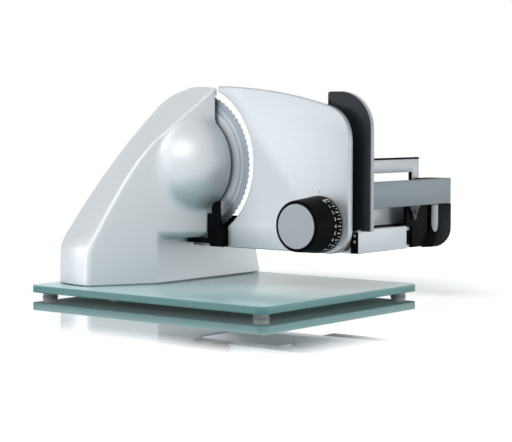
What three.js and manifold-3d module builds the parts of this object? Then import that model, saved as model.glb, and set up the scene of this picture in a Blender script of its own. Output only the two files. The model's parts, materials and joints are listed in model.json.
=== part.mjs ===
// Electric food slicer: a cast tower on a glass plate, a toothed round blade, a stop plate that
// sets the slice thickness, and a carriage that runs beside the blade. Millimetres, +Z up.
// Pieces are drawn round the blade's centre: +X towards the user, +Y towards the food, -Y the
// side where slices fall. The last lines move the whole to the middle of its base.
import * as THREE from "three";
import { mergeVertices } from "three/addons/utils/BufferGeometryUtils.js";
import Module from "manifold-3d";

const wasm = await Module();
wasm.setup();

// Fits
const SEAT = 0.3; // gap between pieces that are fixed together
const RUN = 0.35; // gap round a piece that turns or slides

// Base
const BLADE_HEIGHT = 153; // blade's centre above the surface the slicer stands on
const FOOT_HEIGHT = 6;
const FOOT_RADIUS = 9;
const FOOT_WAIST = 7;
const FOOT_INSET = 17;
const PLATE_THICKNESS = 8.5;
const PLATE_BACK = -110;
const PLATE_FRONT = 235;
const PLATE_LEFT = -164;
const PLATE_RIGHT = 126;
const PLATE_CORNER = 12;
const PLATE_CHAMFER = 0.8;
const GASKET_THICKNESS = 1;
const GASKET_INSET = 2;
const SCREW_RADIUS = 2.5;
const SCREW_HEAD_RADIUS = 5.5;
const SCREW_HEAD_HEIGHT = 3;
const SCREW_BITE = 12; // how far a base screw goes into the tower

// Blade
const BLADE_RADIUS = 85;
const BLADE_THICKNESS = 2;
const BLADE_TEETH = 76;
const BLADE_TOOTH = 1.7;
const BLADE_BEVEL = 9.5;
const BLADE_EDGE = 0.5;
const BLADE_BORE = 12.5;

// Tower
const FACE_ANGLE = THREE.MathUtils.degToRad(29.2); // main face turned from the YZ plane
const EDGE_X = 36.5; // main face at the recess floor
const FOOD_FACE = -3; // tower's flat side, next to the food
const RECESS_FLOOR = -5; // blade recess in that side
const RECESS_GAP = 3; // recess beyond the blade's teeth
const TOWER_BACK = -104;
const FOOT_FRONT = 2; // front face of the tower's foot
const FOOT_END = 124.5; // foot's end at the glass
const FOOT_LEAN = 11; // how far the end leans in up to the arm
const OVERHANG_Z = -(BLADE_RADIUS + 1); // underside of the body in front of the foot
const OVERHANG_ROUND = 8;
const DOME_RADIUS = 60.5;
const DOME_CENTRE_Y = -5;

// Drive
const WHEEL_TEETH = 32;
const WHEEL_RADIUS = 30; // pitch radius
const WHEEL_WIDTH = 9;
const WHEEL_Y = -36;
const WORM_RADIUS = 8; // pitch radius
const WORM_LENGTH = 26;
const TOOTH_HEIGHT = 1.5; // above and below the pitch line
const MOTOR_RADIUS = 25;
const MOTOR_FLOOR_GAP = 20; // room for the fan and air under the motor
const MOTOR_BAY_GAP = 2;
const WHEEL_ROOM = 3; // between the wheel's teeth and the motor bracket
const BRACKET_THICKNESS = 3.5;
const MOTOR_SHAFT_RADIUS = 4;
const FAN_RADIUS = 21;
const FAN_HEIGHT = 6;
const FAN_BLADES = 7;
const WORM_BAY_RADIUS = 11;
const WORM_BAY_TOP = 22;
const BUSH_HEIGHT = 4.2;
const CHAMBER_RADIUS = 40;
const CHAMBER_DEEP_Y = -43;
const BLADE_SHAFT_RADIUS = 6;
const BEARING_RADIUS = 11;
const BEARING_WIDTH = 6.5;
const COVER_THICKNESS = 6;
const CARRIER_RADIUS = 30;
const CARRIER_THICKNESS = 3.2;
const LOCK_RADIUS = 24;
const LOCK_HEIGHT = 9;
const LOCK_BAR = 5; // finger bar across the blade lock
const SHAFT_END_Y = 4.5;

// Guard under the blade's edge
const GUARD_GAP = 1.6; // beside the blade
const EDGE_GUARD_SIDE = -15;
const EDGE_GUARD_FOOD_SIDE = 6;
const EDGE_GUARD_LEFT = 33;
const EDGE_GUARD_DROP = 11; // below the blade's lowest point
const EDGE_GUARD_BODY = 39; // height of its body, up to the finger
const EDGE_GUARD_FINGER = 14;
const EDGE_GUARD_CORNER = 9; // its cut-off lower corner
const EDGE_GUARD_NECK = 7; // finger's width
const EDGE_GUARD_TAB_FRONT = -9; // tab's place and height under the tower
const EDGE_GUARD_TAB_WIDTH = 7;
const EDGE_GUARD_TAB_HEIGHT = 6.5;
const EDGE_GUARD_BOTTOM = -(BLADE_RADIUS + EDGE_GUARD_DROP);
const EDGE_GUARD_KNEE = EDGE_GUARD_BOTTOM + EDGE_GUARD_CORNER;
const EDGE_GUARD_STEP = EDGE_GUARD_BOTTOM + EDGE_GUARD_BODY;
const EDGE_GUARD_TOP = EDGE_GUARD_STEP + EDGE_GUARD_FINGER;
const EDGE_GUARD_NOTCH = EDGE_GUARD_STEP - EDGE_GUARD_FINGER; // where its right side steps out
const EDGE_GUARD_TAB_X = 3; // end of the tab under the tower

// Stop plate and its knob
const STOP_THICKNESS = 8;
const STOP_LEFT = 58;
const STOP_RIGHT = 230;
const STOP_BOTTOM = -96.5;
const STOP_TIP_ANGLE = 1.13; // where the plate's blade-side arc ends, up from the level
const STOP_TIP = 6.3; // straight edge above that arc
const STOP_SHOULDER_IN = 35; // where the top line turns down, from the right edge
const STOP_SHOULDER_DROP = 21.8; // and below the tip
const STOP_CORNER = 42;
const STOP_FOOT_CORNER = 27;
const STOP_ARC_X = 5;
const STOP_ARC_Z = 2;
const STOP_ARC_GAP = 6; // crescent between the blade and the plate
const STOP_EDGE = 1.2;
const STOP_ARC = BLADE_RADIUS + STOP_ARC_GAP;
const STOP_TOP = STOP_ARC_Z + STOP_ARC * Math.sin(STOP_TIP_ANGLE) + STOP_TIP;
const STOP_SHOULDER_X = STOP_RIGHT - STOP_SHOULDER_IN;
const STOP_SHOULDER_Z = STOP_TOP - STOP_SHOULDER_DROP;
const KNOB_IN = 40; // knob's axis from the plate's right edge
const KNOB_X = STOP_RIGHT - KNOB_IN;
const KNOB_Z = -64.5;
const KNOB_RADIUS = 32;
const KNOB_NOSE_RADIUS = 28.5;
const KNOB_LENGTH = 43;
const KNOB_ROUND = 3.5;
const CAP_RADIUS = 24.7;
const CAP_THICKNESS = 1.6;
const SPINDLE_RADIUS = 5;
const SPINDLE_BITE = 24; // spindle's length inside the knob
const SCREW_Z = -82;
const GEAR_TEETH = 18;
const GEAR_WIDTH = 3.2;
const GEAR_TOOTH = 1.1;
const POCKET_FLOOR = -5.2;
const POCKET_MARGIN = 1.6;
const STOP_COVER_THICKNESS = 1;
const LEAD_SCREW_END = 62;
const PIN_RADIUS = 4;
const PIN_IN_LEFT = 32; // guide pins from the plate's side edges
const PIN_IN_RIGHT = 16;
const PIN_XS = [STOP_LEFT + PIN_IN_LEFT, STOP_RIGHT - PIN_IN_RIGHT];
const PIN_Z = -86;
const PIN_BITE = 4.5;
const PIN_END = 70;
const BUSH_RADIUS = 7;
const BUSH_LENGTH = 24;

// Guide arm
const ARM_LEFT = 8;
const ARM_RIGHT = 117;
const ARM_TOP = -72;
const ARM_BOTTOM = -96.5;
const ARM_WALL = 4;
const ARM_BACK = -100;
const ARM_PAST = 2; // arm's reach past the stop plate
const ARM_FRONT = STOP_RIGHT + ARM_PAST;
const END_PLATE = 3.7;
const GROOVE_LEFT = 101;
const ROD_RADIUS = 5;
const ROD_Y = 109;
const HOLDER_LENGTH = 9;
const NUT_WIDTH = 24;
const NUT_LENGTH = 17;

// Carriage, its lengths measured from its front line
const CARRIAGE_IN = 2; // front line behind the arm's end, with the carriage pulled out
const CARRIAGE_FRONT = ARM_FRONT - CARRIAGE_IN;
const TABLE_LENGTH = 135;
const TABLE_BACK = CARRIAGE_FRONT - TABLE_LENGTH;
const TABLE_TOP = -55;
const TABLE_THICKNESS = 3;
const TABLE_LEFT = 4;
const TABLE_RIGHT = 150;
const RIB_Y = 30;
const RIB_WIDTH = 3;
const GLIDE_HEIGHT = 2.4;
const GLIDE_WIDTH = 8;
const FENCE_IN = 23;
const FENCE_FRONT = CARRIAGE_FRONT - FENCE_IN;
const FENCE_THICKNESS = 3;
const FENCE_RIGHT = 169;
const FENCE_BOTTOM = -69.5;
const FENCE_TOP = 7.5;
const SLOT_TOP = -10;
const SLOT_BOTTOM = -40;
const SLOT_RIGHT = 153;
const SLOT_LEFT = 40;
const THUMB_PAST = 12.2;
const THUMB_FRONT_X = CARRIAGE_FRONT + THUMB_PAST;
const THUMB_DEPTH = 57.3;
const THUMB_LEFT_X = THUMB_FRONT_X - THUMB_DEPTH;
const THUMB_Y = 14.5;
const THUMB_THICKNESS = 8.5;
const THUMB_TOP = 83;
const THUMB_ROUND = 42;
const THUMB_EDGE = 1.2;
const BAR_PAST = 8;
const BAR_FRONT = CARRIAGE_FRONT + BAR_PAST;
const BAR_THICKNESS = 3;
const BAR_TOP = -17.3;
const BAR_BOTTOM = -47.3;
const BAR_RIGHT = 192;
const BAR_ROUND = 2;
const BRACKET_LENGTH = 130;
const BRACKET_PAST = 1;
const BRACKET_BACK = CARRIAGE_FRONT - BRACKET_LENGTH;
const BRACKET_FRONT = CARRIAGE_FRONT + BRACKET_PAST;
const BRACKET_BOTTOM = -96;
const BRACKET_RIGHT = 151;
const BRACKET_CORNER = 6;
const BRACKET_PLATE = 4.5; // thickness of the bracket's upright front plate
const HANDLE_SIDE = 20; // solid right side of the handle
const HANDLE_FLOOR = 5;
const HANDLE_LIP = 4;
const HANDLE_LIP_IN = 8;
const HANDLE_ROUND = 36;
const HANDLE_INNER_ROUND = 10;
const HANDLE_BOTTOM = -97;
const SHOE_LENGTH = 30;
const SHOE_REAR_IN = 119;
const SHOE_FRONT_IN = 50;
const SHOE_BACKS = [CARRIAGE_FRONT - SHOE_REAR_IN, CARRIAGE_FRONT - SHOE_FRONT_IN];
const LEVER_PIVOT_Y = 119;
const LEVER_PIVOT_Z = -55;
const LEVER_WIDTH = 26; // across its top
const LEVER_RISE = 8; // above and below its pin
const LEVER_DROP = 9;
const LEVER_TIP = 7.5; // width of its lower end
const LEVER_THICKNESS = 3;
const LEVER_PIN_RADIUS = 2;
const LEVER_PIN_BITE = 3.9;

// Switch and cord inlet, on the tower's back
const SWITCH_Y = -35;
const SWITCH_Z = -90;
const BUTTON_RADIUS = 7;
const BUTTON_STANDS = 4;
const BUTTON_DEPTH = 9;
const BEZEL_WALL = 2;
const BEZEL_RIM = 2;
const INLET_Y = 60;
const INLET_RISE = 17; // above the tower's bottom edge
const INLET_RADIUS = 8;
const INLET_BORE = 3.6;
const INLET_DEPTH = 10;
const INLET_STANDS = 5;

// Levels and places that follow from the sizes above
const FLOOR_Z = -BLADE_HEIGHT;
const GLASS_BOTTOM = FLOOR_Z + FOOT_HEIGHT;
const GLASS_TOP = GLASS_BOTTOM + PLATE_THICKNESS;
const GASKET_BOTTOM = GLASS_TOP + SEAT;
const TOWER_BOTTOM = GASKET_BOTTOM + GASKET_THICKNESS + SEAT;
const FOOT_TOP = ARM_BOTTOM - SEAT;
const INLET_Z = TOWER_BOTTOM + INLET_RISE;
const FAR = 400; // longer than any piece, for cutters
const WORM_X = -(WHEEL_RADIUS + WORM_RADIUS);
const BAY_RADIUS = MOTOR_RADIUS + MOTOR_BAY_GAP;
const MOTOR_BAY_TOP = -(WHEEL_RADIUS + TOOTH_HEIGHT) - WHEEL_ROOM + SEAT;
const MOTOR_TOP = MOTOR_BAY_TOP - SEAT - BRACKET_THICKNESS - SEAT;
const MOTOR_BOTTOM = TOWER_BOTTOM + MOTOR_FLOOR_GAP;
const BLADE_BACK = -BLADE_THICKNESS / 2;
const COVER_FRONT = RECESS_FLOOR - SEAT;
const CARRIER_FRONT = BLADE_BACK - SEAT;
const STOP_FRONT = -STOP_THICKNESS;
const KNOB_BACK = STOP_FRONT - SEAT;
const KNOB_FRONT = KNOB_BACK - KNOB_LENGTH;
const GEAR_RADIUS = (KNOB_Z - SCREW_Z) / 2; // pitch radius of the two equal gears
const BRACKET_TOP = TABLE_TOP - TABLE_THICKNESS - SEAT;
const THUMB_BACK_Y = THUMB_Y + THUMB_THICKNESS;
const THUMB_BOTTOM = ARM_TOP + RUN;
const ROD_Z = (ARM_TOP + ARM_BOTTOM) / 2;
const GROOVE_TOP = ARM_TOP - ARM_WALL;
const GROOVE_BOTTOM = ARM_BOTTOM + ARM_WALL;
const RIB_BOTTOM = ARM_TOP + RUN + GLIDE_HEIGHT + SEAT;
const BASE_SCREWS = [
  [-80, -95],
  [-36, -100],
  [-80, 95],
  [-20, 95],
];

// A closed geometry as a solid, with its faces turned outwards
function solid(geometry) {
  const bare = new THREE.BufferGeometry();
  bare.setAttribute("position", geometry.getAttribute("position"));
  bare.setIndex(geometry.index);
  const merged = mergeVertices(bare, 1e-4);
  const index = merged.index.array;
  const kept = [];
  for (let i = 0; i < index.length; i += 3) {
    const [a, b, c] = [index[i], index[i + 1], index[i + 2]];
    if (a !== b && b !== c && c !== a) kept.push(a, b, c);
  }
  const vertProperties = new Float32Array(merged.attributes.position.array);
  const build = (triVerts) =>
    new wasm.Manifold(new wasm.Mesh({ numProp: 3, vertProperties, triVerts }));
  const made = build(new Uint32Array(kept));
  if (made.volume() > 0) return made;
  return build(new Uint32Array(kept.reverse()));
}

const union = (first, ...rest) => rest.reduce((sum, next) => sum.add(next), first);
const cut = (first, ...rest) => rest.reduce((sum, next) => sum.subtract(next), first);

// Extrusions of a flat outline along one axis, between two places on it
const AXES = {
  x: new THREE.Matrix4().makeBasis(
    new THREE.Vector3(0, 1, 0),
    new THREE.Vector3(0, 0, 1),
    new THREE.Vector3(1, 0, 0),
  ),
  y: new THREE.Matrix4().makeBasis(
    new THREE.Vector3(1, 0, 0),
    new THREE.Vector3(0, 0, 1),
    new THREE.Vector3(0, -1, 0),
  ),
  z: new THREE.Matrix4(),
};

function extruded(axis, outline, low, high, edge = 0, steps = 1) {
  const geometry = new THREE.ExtrudeGeometry(outline, {
    depth: high - low - 2 * edge,
    steps,
    curveSegments: 8,
    bevelEnabled: edge > 0,
    bevelThickness: edge,
    bevelSize: edge,
    bevelOffset: -edge,
    bevelSegments: 1,
  });
  geometry.applyMatrix4(AXES[axis]);
  const place = { x: [low + edge, 0, 0], y: [0, high - edge, 0], z: [0, 0, low + edge] }[axis];
  return solid(geometry.translate(...place));
}

function polygon(points) {
  return new THREE.Shape(points.map(([u, v]) => new THREE.Vector2(u, v)));
}

function rectangle(u0, v0, u1, v1) {
  return polygon([
    [u0, v0],
    [u1, v0],
    [u1, v1],
    [u0, v1],
  ]);
}

function block(x0, x1, y0, y1, z0, z1) {
  return extruded("z", rectangle(x0, y0, x1, y1), z0, z1);
}

function circle(u, v, radius) {
  return new THREE.Shape().absarc(u, v, radius, 0, 2 * Math.PI, false);
}

function ring(u, v, outer, inner) {
  const shape = circle(u, v, outer);
  shape.holes.push(circle(u, v, inner));
  return shape;
}

// A turned piece: its profile as [radius, height] pairs along the axis, from end to end
function turned(axis, profile, u = 0, v = 0, segments = 20) {
  const points = profile.map(([radius, height]) => new THREE.Vector2(radius, height));
  const geometry = new THREE.LatheGeometry(points, segments);
  if (axis === "z") geometry.rotateX(Math.PI / 2).translate(u, v, 0);
  if (axis === "y") geometry.translate(u, 0, v);
  return solid(geometry);
}

// A plain round bar between two places on its axis
function bar(axis, radius, low, high, u = 0, v = 0, segments = 20) {
  const shape = new THREE.Shape();
  for (let i = 0; i < segments; i++) {
    const angle = (2 * Math.PI * i) / segments;
    const point = [u + radius * Math.cos(angle), v + radius * Math.sin(angle)];
    if (i === 0) shape.moveTo(...point);
    else shape.lineTo(...point);
  }
  return extruded(axis, shape, low, high);
}

// A skin over a row of rings; joined makes the last ring meet the first
function skin(rings, joined = false) {
  const count = rings[0].length;
  const points = rings.flat();
  const faces = [];
  const spans = joined ? rings.length : rings.length - 1;
  for (let i = 0; i < spans; i++) {
    const a = i * count;
    const b = ((i + 1) % rings.length) * count;
    for (let j = 0; j < count; j++) {
      const k = (j + 1) % count;
      faces.push(a + j, a + k, b + k, a + j, b + k, b + j);
    }
  }
  const close = (start, flip) => {
    const middle = new THREE.Vector3();
    for (let j = 0; j < count; j++) middle.addScaledVector(points[start + j], 1 / count);
    points.push(middle);
    for (let j = 0; j < count; j++) {
      const k = (j + 1) % count;
      if (flip) faces.push(points.length - 1, start + k, start + j);
      else faces.push(points.length - 1, start + j, start + k);
    }
  };
  if (!joined) {
    close(0, true);
    close((rings.length - 1) * count, false);
  }
  const geometry = new THREE.BufferGeometry().setFromPoints(points);
  geometry.setIndex(faces);
  return solid(geometry);
}

// Outline of a gear wheel with straight-sided teeth, turned by a share of a tooth pitch
function gearOutline(teeth, radius, height, shift = 0, u = 0, v = 0) {
  const pitch = (2 * Math.PI) / teeth;
  const corners = [
    [radius - height, -0.27],
    [radius + height, -0.11],
    [radius + height, 0.11],
    [radius - height, 0.27],
  ];
  const points = [];
  for (let i = 0; i < teeth; i++) {
    for (const [r, share] of corners) {
      const angle = pitch * (i + shift + share);
      points.push([u + r * Math.cos(angle), v + r * Math.sin(angle)]);
    }
  }
  return polygon(points);
}

// Materials
const finish = (color, roughness, metalness) =>
  new THREE.MeshStandardMaterial({ color, roughness, metalness });
const castAluminium = () => finish(0xc3c7ca, 0.4, 0.6);
const satinAluminium = () => finish(0xb9bec2, 0.35, 0.8);
const steel = () => finish(0xa9adb0, 0.25, 1);
const glass = () => finish(0x5f9390, 0.1, 0);
const blackPlastic = () => finish(0x17191b, 0.45, 0);
const slatePlastic = () => finish(0x2a3137, 0.5, 0);
const rubber = () => finish(0x2b3238, 0.8, 0);
const gearPlastic = () => finish(0xd9d4c4, 0.5, 0);
const bronze = () => finish(0x9c7a45, 0.4, 0.9);

const machine = new THREE.Group();
function add(name, shape, material) {
  const made = shape.getMesh();
  const count = made.numProp;
  const position = new Float32Array(made.numVert * 3);
  for (let i = 0; i < made.numVert; i++)
    position.set(made.vertProperties.subarray(i * count, i * count + 3), i * 3);
  const geometry = new THREE.BufferGeometry();
  geometry.setAttribute("position", new THREE.BufferAttribute(position, 3));
  geometry.setIndex(new THREE.BufferAttribute(made.triVerts, 1));
  geometry.computeVertexNormals();
  const mesh = new THREE.Mesh(geometry, material);
  mesh.name = name;
  machine.add(mesh);
}

// Tower surface: a loft whose four rails run from the tip down to the glass
const onFace = (run, z) =>
  new THREE.Vector3(
    EDGE_X - run * Math.sin(FACE_ANGLE),
    RECESS_FLOOR - run * Math.cos(FACE_ANGLE),
    z,
  );
const faceAtFoodSide = onFace((RECESS_FLOOR - FOOD_FACE) / Math.cos(FACE_ANGLE), 0).x;

// Each station: height of the front edge, crease on the main face as [run, height],
// shoulder towards the back, ridge on the food side as [x, height], crease and shoulder rounding
const TOWER_STATIONS = [
  [88.6, [0.5, 87.9], [34.6, -4.2, 89.4], [33, 89.9], 0.8, 1],
  [78, [9, 80.5], [20, -8, 86.5], [14.6, 91.2], 4, 6],
  [66, [24, 68], [2, -15.5, 79.5], [-10, 88], 6, 10],
  [50, [42, 53.5], [-17, -25, 69.5], [-36, 79.2], 7, 14],
  [30, [60, 39], [-37.5, -36, 54.5], [-59.5, 63.3], 8, 20],
  [5, [78.5, 23], [-57, -46.5, 33], [-79, 41], 9, 28],
  [-25, [97.5, 1], [-73.5, -61.5, 6], [-93.5, 14], 8, 30],
  [-55, [119.5, -33], [-89.5, -83, -29], [-101, -22], 7, 30],
  [-80, [140, -69], [-100.5, -107, -66], [-103.5, -60], 6, 26],
  [-96, [152, -93], [TOWER_BACK, -124.5, -92], [TOWER_BACK, -92], 5, 20],
  [-108, [154.5, -106], [TOWER_BACK, -126.5, -106], [TOWER_BACK, -106], 5, 18],
  [TOWER_BOTTOM, [155, TOWER_BOTTOM], [TOWER_BACK, -126.5, TOWER_BOTTOM], [TOWER_BACK, TOWER_BOTTOM], 5, 18],
];

function rail(point) {
  return new THREE.CatmullRomCurve3(TOWER_STATIONS.map(point), false, "centripetal");
}

// A ring through corner points, each corner rounded over its own length
function roundedRing(corners, lengths, counts) {
  const points = [];
  corners.forEach((corner, i) => {
    const before = corners[(i + corners.length - 1) % corners.length];
    const after = corners[(i + 1) % corners.length];
    const reach = (to) => Math.min(lengths[i], 0.42 * corner.distanceTo(to));
    const start = corner.clone().lerp(before, reach(before) / corner.distanceTo(before));
    const end = corner.clone().lerp(after, reach(after) / corner.distanceTo(after));
    const curve = new THREE.QuadraticBezierCurve3(start, corner, end);
    points.push(...curve.getPoints(counts[i]));
  });
  return points;
}

function towerLoft() {
  const front = rail(([z]) => new THREE.Vector3(faceAtFoodSide, FOOD_FACE, z));
  const crease = rail(([, [run, z]]) => onFace(run, z));
  const shoulder = rail(([, , place]) => new THREE.Vector3(...place));
  const ridge = rail(([, , , [x, z]]) => new THREE.Vector3(x, FOOD_FACE, z));
  const rounding = rail(([, , , , soft, softer]) => new THREE.Vector3(soft, softer, 0));
  const rings = [];
  const sections = 2 * (TOWER_STATIONS.length - 1);
  for (let i = 0; i <= sections; i++) {
    const t = i / sections;
    const soft = rounding.getPoint(t);
    rings.push(
      roundedRing(
        [front, ridge, shoulder, crease].map((curve) => curve.getPoint(t)),
        [0.6, 2.5, soft.y, soft.x],
        [1, 2, 5, 3],
      ),
    );
  }
  return skin(rings.reverse());
}

// Rounding of the overhang's lower edge, as the waste to cut away
function overhangWaste() {
  const waste = new THREE.Shape();
  waste.moveTo(-OVERHANG_ROUND, 0);
  waste.absarc(-OVERHANG_ROUND, OVERHANG_ROUND, OVERHANG_ROUND, -Math.PI / 2, 0, false);
  waste.lineTo(1, OVERHANG_ROUND);
  waste.lineTo(1, -1);
  waste.lineTo(-OVERHANG_ROUND, -1);
  const geometry = new THREE.ExtrudeGeometry(waste, {
    depth: FAR,
    curveSegments: 6,
    bevelEnabled: false,
  });
  const outwards = new THREE.Vector3(Math.cos(FACE_ANGLE), -Math.sin(FACE_ANGLE), 0);
  const up = new THREE.Vector3(0, 0, 1);
  const along = new THREE.Vector3().crossVectors(outwards, up);
  geometry.applyMatrix4(new THREE.Matrix4().makeBasis(outwards, up, along));
  const start = onFace(0, OVERHANG_Z).addScaledVector(along, -FAR / 2);
  return solid(geometry.translate(start.x, start.y, start.z)).intersect(
    block(FOOT_FRONT, FAR, -FAR, FAR, -FAR, FAR),
  );
}

function dome(radius) {
  const sphere = new THREE.SphereGeometry(radius, 32, 20).rotateX(Math.PI / 2);
  return solid(sphere.translate(0, DOME_CENTRE_Y, 0));
}

function tower() {
  const footOutline = polygon([
    [2 * RECESS_FLOOR, TOWER_BOTTOM],
    [FOOT_END, TOWER_BOTTOM],
    [FOOT_END - FOOT_LEAN, FOOT_TOP],
    [2 * RECESS_FLOOR, FOOT_TOP],
  ]);
  const body = cut(
    union(towerLoft(), dome(DOME_RADIUS)),
    block(FOOT_FRONT, FAR, -FAR, FAR, -FAR, OVERHANG_Z),
    overhangWaste(),
    bar("y", BLADE_RADIUS + RECESS_GAP, RECESS_FLOOR, FAR, 0, 0, 64),
  );
  const hole = (x, y) =>
    bar("z", SCREW_RADIUS + SEAT, -FAR, TOWER_BOTTOM + SCREW_BITE + SEAT, x, y, 12);
  const shaftPocketEnd = CHAMBER_DEEP_Y - BEARING_WIDTH - 2 * SEAT;
  return cut(
    union(body, extruded("x", footOutline, TOWER_BACK, FOOT_FRONT)),
    bar("y", CHAMBER_RADIUS, CHAMBER_DEEP_Y, 0, 0, 0, 40),
    bar("y", BEARING_RADIUS + SEAT, shaftPocketEnd, 0, 0, 0, 24),
    bar("z", BAY_RADIUS, -FAR, MOTOR_BAY_TOP, WORM_X, WHEEL_Y, 32),
    bar("z", WORM_BAY_RADIUS, -FAR, WORM_BAY_TOP, WORM_X, WHEEL_Y, 24),
    bar("x", BUTTON_RADIUS + RUN + BEZEL_WALL + SEAT, -FAR, TOWER_BACK + BUTTON_DEPTH + 4, SWITCH_Y, SWITCH_Z),
    bar("x", INLET_RADIUS + SEAT, -FAR, TOWER_BACK + INLET_DEPTH + SEAT, INLET_Y, INLET_Z),
    ...BASE_SCREWS.map(([x, y]) => hole(x, y)),
  );
}

// Base
function plateOutline() {
  const shape = new THREE.Shape();
  const r = PLATE_CORNER;
  shape.absarc(PLATE_FRONT - r, PLATE_RIGHT - r, r, 0, Math.PI / 2, false);
  shape.absarc(PLATE_BACK + r, PLATE_RIGHT - r, r, Math.PI / 2, Math.PI, false);
  shape.absarc(PLATE_BACK + r, PLATE_LEFT + r, r, Math.PI, 1.5 * Math.PI, false);
  shape.absarc(PLATE_FRONT - r, PLATE_LEFT + r, r, 1.5 * Math.PI, 2 * Math.PI, false);
  return shape;
}

const plateHoles = BASE_SCREWS.map(([x, y]) => bar("z", SCREW_RADIUS + SEAT, -FAR, FAR, x, y, 12));
add(
  "glass_base_plate",
  cut(extruded("z", plateOutline(), GLASS_BOTTOM, GLASS_TOP, PLATE_CHAMFER), ...plateHoles),
  glass(),
);

const footPlaces = {
  foot_back_left: [PLATE_BACK + FOOT_INSET, PLATE_LEFT + FOOT_INSET],
  foot_back_right: [PLATE_BACK + FOOT_INSET, PLATE_RIGHT - FOOT_INSET],
  foot_front_left: [PLATE_FRONT - FOOT_INSET, PLATE_LEFT + FOOT_INSET],
  foot_front_right: [PLATE_FRONT - FOOT_INSET, PLATE_RIGHT - FOOT_INSET],
};
for (const [name, [x, y]] of Object.entries(footPlaces)) {
  const top = GLASS_BOTTOM - SEAT;
  const profile = [
    [0, FLOOR_Z],
    [FOOT_RADIUS - 1, FLOOR_Z],
    [FOOT_RADIUS, FLOOR_Z + 0.8],
    [FOOT_WAIST, (FLOOR_Z + top) / 2],
    [FOOT_RADIUS, top - 0.8],
    [FOOT_RADIUS, top],
    [0, top],
  ];
  add(name, turned("z", profile, x, y, 16), rubber());
}

// The gasket has the tower's own footprint, taken just above its bottom edge
const gasket = cut(
  tower()
    .intersect(block(-FAR, FAR, -FAR, FAR, TOWER_BOTTOM, TOWER_BOTTOM + GASKET_THICKNESS))
    .translate([0, 0, GASKET_BOTTOM - TOWER_BOTTOM]),
  block(-FAR, TOWER_BACK + GASKET_INSET, -FAR, FAR, -FAR, FAR),
  block(FOOT_FRONT - GASKET_INSET, FAR, -FAR, FAR, -FAR, FAR),
  block(-FAR, FAR, FOOT_END - GASKET_INSET, FAR, -FAR, FAR),
);
add("base_gasket", gasket, rubber());

BASE_SCREWS.forEach(([x, y], i) => {
  const headTop = GLASS_BOTTOM - SEAT;
  const profile = [
    [0, headTop - SCREW_HEAD_HEIGHT],
    [SCREW_HEAD_RADIUS - 1, headTop - SCREW_HEAD_HEIGHT],
    [SCREW_HEAD_RADIUS, headTop - SCREW_HEAD_HEIGHT + 1],
    [SCREW_HEAD_RADIUS, headTop],
    [SCREW_RADIUS, headTop],
    [SCREW_RADIUS, TOWER_BOTTOM + SCREW_BITE],
    [0, TOWER_BOTTOM + SCREW_BITE],
  ];
  add(`base_screw_${i + 1}`, turned("z", profile, x, y, 12), steel());
});

add("tower_housing", tower(), castAluminium());

// Switch and cord inlet
const bezelInner = BUTTON_RADIUS + RUN;
const bezelOuter = bezelInner + BEZEL_WALL;
const bezelBack = TOWER_BACK - SEAT;
add(
  "switch_bezel",
  union(
    extruded("x", ring(SWITCH_Y, SWITCH_Z, bezelOuter, bezelInner), bezelBack - 0.5, TOWER_BACK + BUTTON_DEPTH),
    extruded("x", ring(SWITCH_Y, SWITCH_Z, bezelOuter + BEZEL_RIM, bezelInner), bezelBack - 1.5, bezelBack),
  ),
  blackPlastic(),
);
add(
  "switch_button",
  bar("x", BUTTON_RADIUS, TOWER_BACK - BUTTON_STANDS, TOWER_BACK + BUTTON_DEPTH - 1, SWITCH_Y, SWITCH_Z),
  slatePlastic(),
);
add(
  "cord_inlet",
  union(
    extruded("x", ring(INLET_Y, INLET_Z, INLET_RADIUS, INLET_BORE), TOWER_BACK - 1, TOWER_BACK + INLET_DEPTH),
    extruded(
      "x",
      ring(INLET_Y, INLET_Z, INLET_RADIUS + 2, INLET_BORE),
      TOWER_BACK - INLET_STANDS,
      TOWER_BACK - SEAT,
    ),
  ),
  blackPlastic(),
);

// Motor and worm drive
add(
  "motor_body",
  turned(
    "z",
    [
      [MOTOR_SHAFT_RADIUS + 1, MOTOR_BOTTOM],
      [MOTOR_RADIUS - 6, MOTOR_BOTTOM],
      [MOTOR_RADIUS, MOTOR_BOTTOM + 6],
      [MOTOR_RADIUS, MOTOR_TOP],
      [MOTOR_SHAFT_RADIUS + 1, MOTOR_TOP],
      [MOTOR_SHAFT_RADIUS + 1, MOTOR_BOTTOM],
    ],
    WORM_X,
    WHEEL_Y,
  ),
  steel(),
);
add(
  "motor_bracket",
  extruded(
    "z",
    ring(WORM_X, WHEEL_Y, BAY_RADIUS - SEAT, MOTOR_SHAFT_RADIUS + RUN),
    MOTOR_TOP + SEAT,
    MOTOR_BAY_TOP - SEAT,
  ),
  castAluminium(),
);

const WORM_PITCH = (2 * Math.PI * WHEEL_RADIUS) / WHEEL_TEETH;
const LEAD_SLOPE = WORM_PITCH / (2 * Math.PI * WORM_RADIUS);
function worm() {
  const rings = [];
  const steps = 8 * Math.round(WORM_LENGTH / WORM_PITCH);
  const sides = 12;
  const low = WORM_RADIUS - TOOTH_HEIGHT;
  for (let i = 0; i <= steps; i++) {
    const z = WORM_LENGTH * (i / steps - 0.5);
    const fade = Math.min(1, (WORM_LENGTH / 2 - Math.abs(z)) / 2);
    const points = [];
    for (let j = 0; j < sides; j++) {
      const turn = j / sides;
      const phase = z / WORM_PITCH - turn;
      const away = Math.abs(phase - Math.round(phase));
      const crest = THREE.MathUtils.clamp((0.25 - away) / 0.13, 0, 1);
      const radius = low + 2 * TOOTH_HEIGHT * crest * fade;
      const angle = 2 * Math.PI * turn;
      points.push(
        new THREE.Vector3(WORM_X + radius * Math.cos(angle), WHEEL_Y + radius * Math.sin(angle), z),
      );
    }
    rings.push(points);
  }
  return skin(rings);
}
const fanBottom = MOTOR_BOTTOM - 2 - FAN_HEIGHT;
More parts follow.
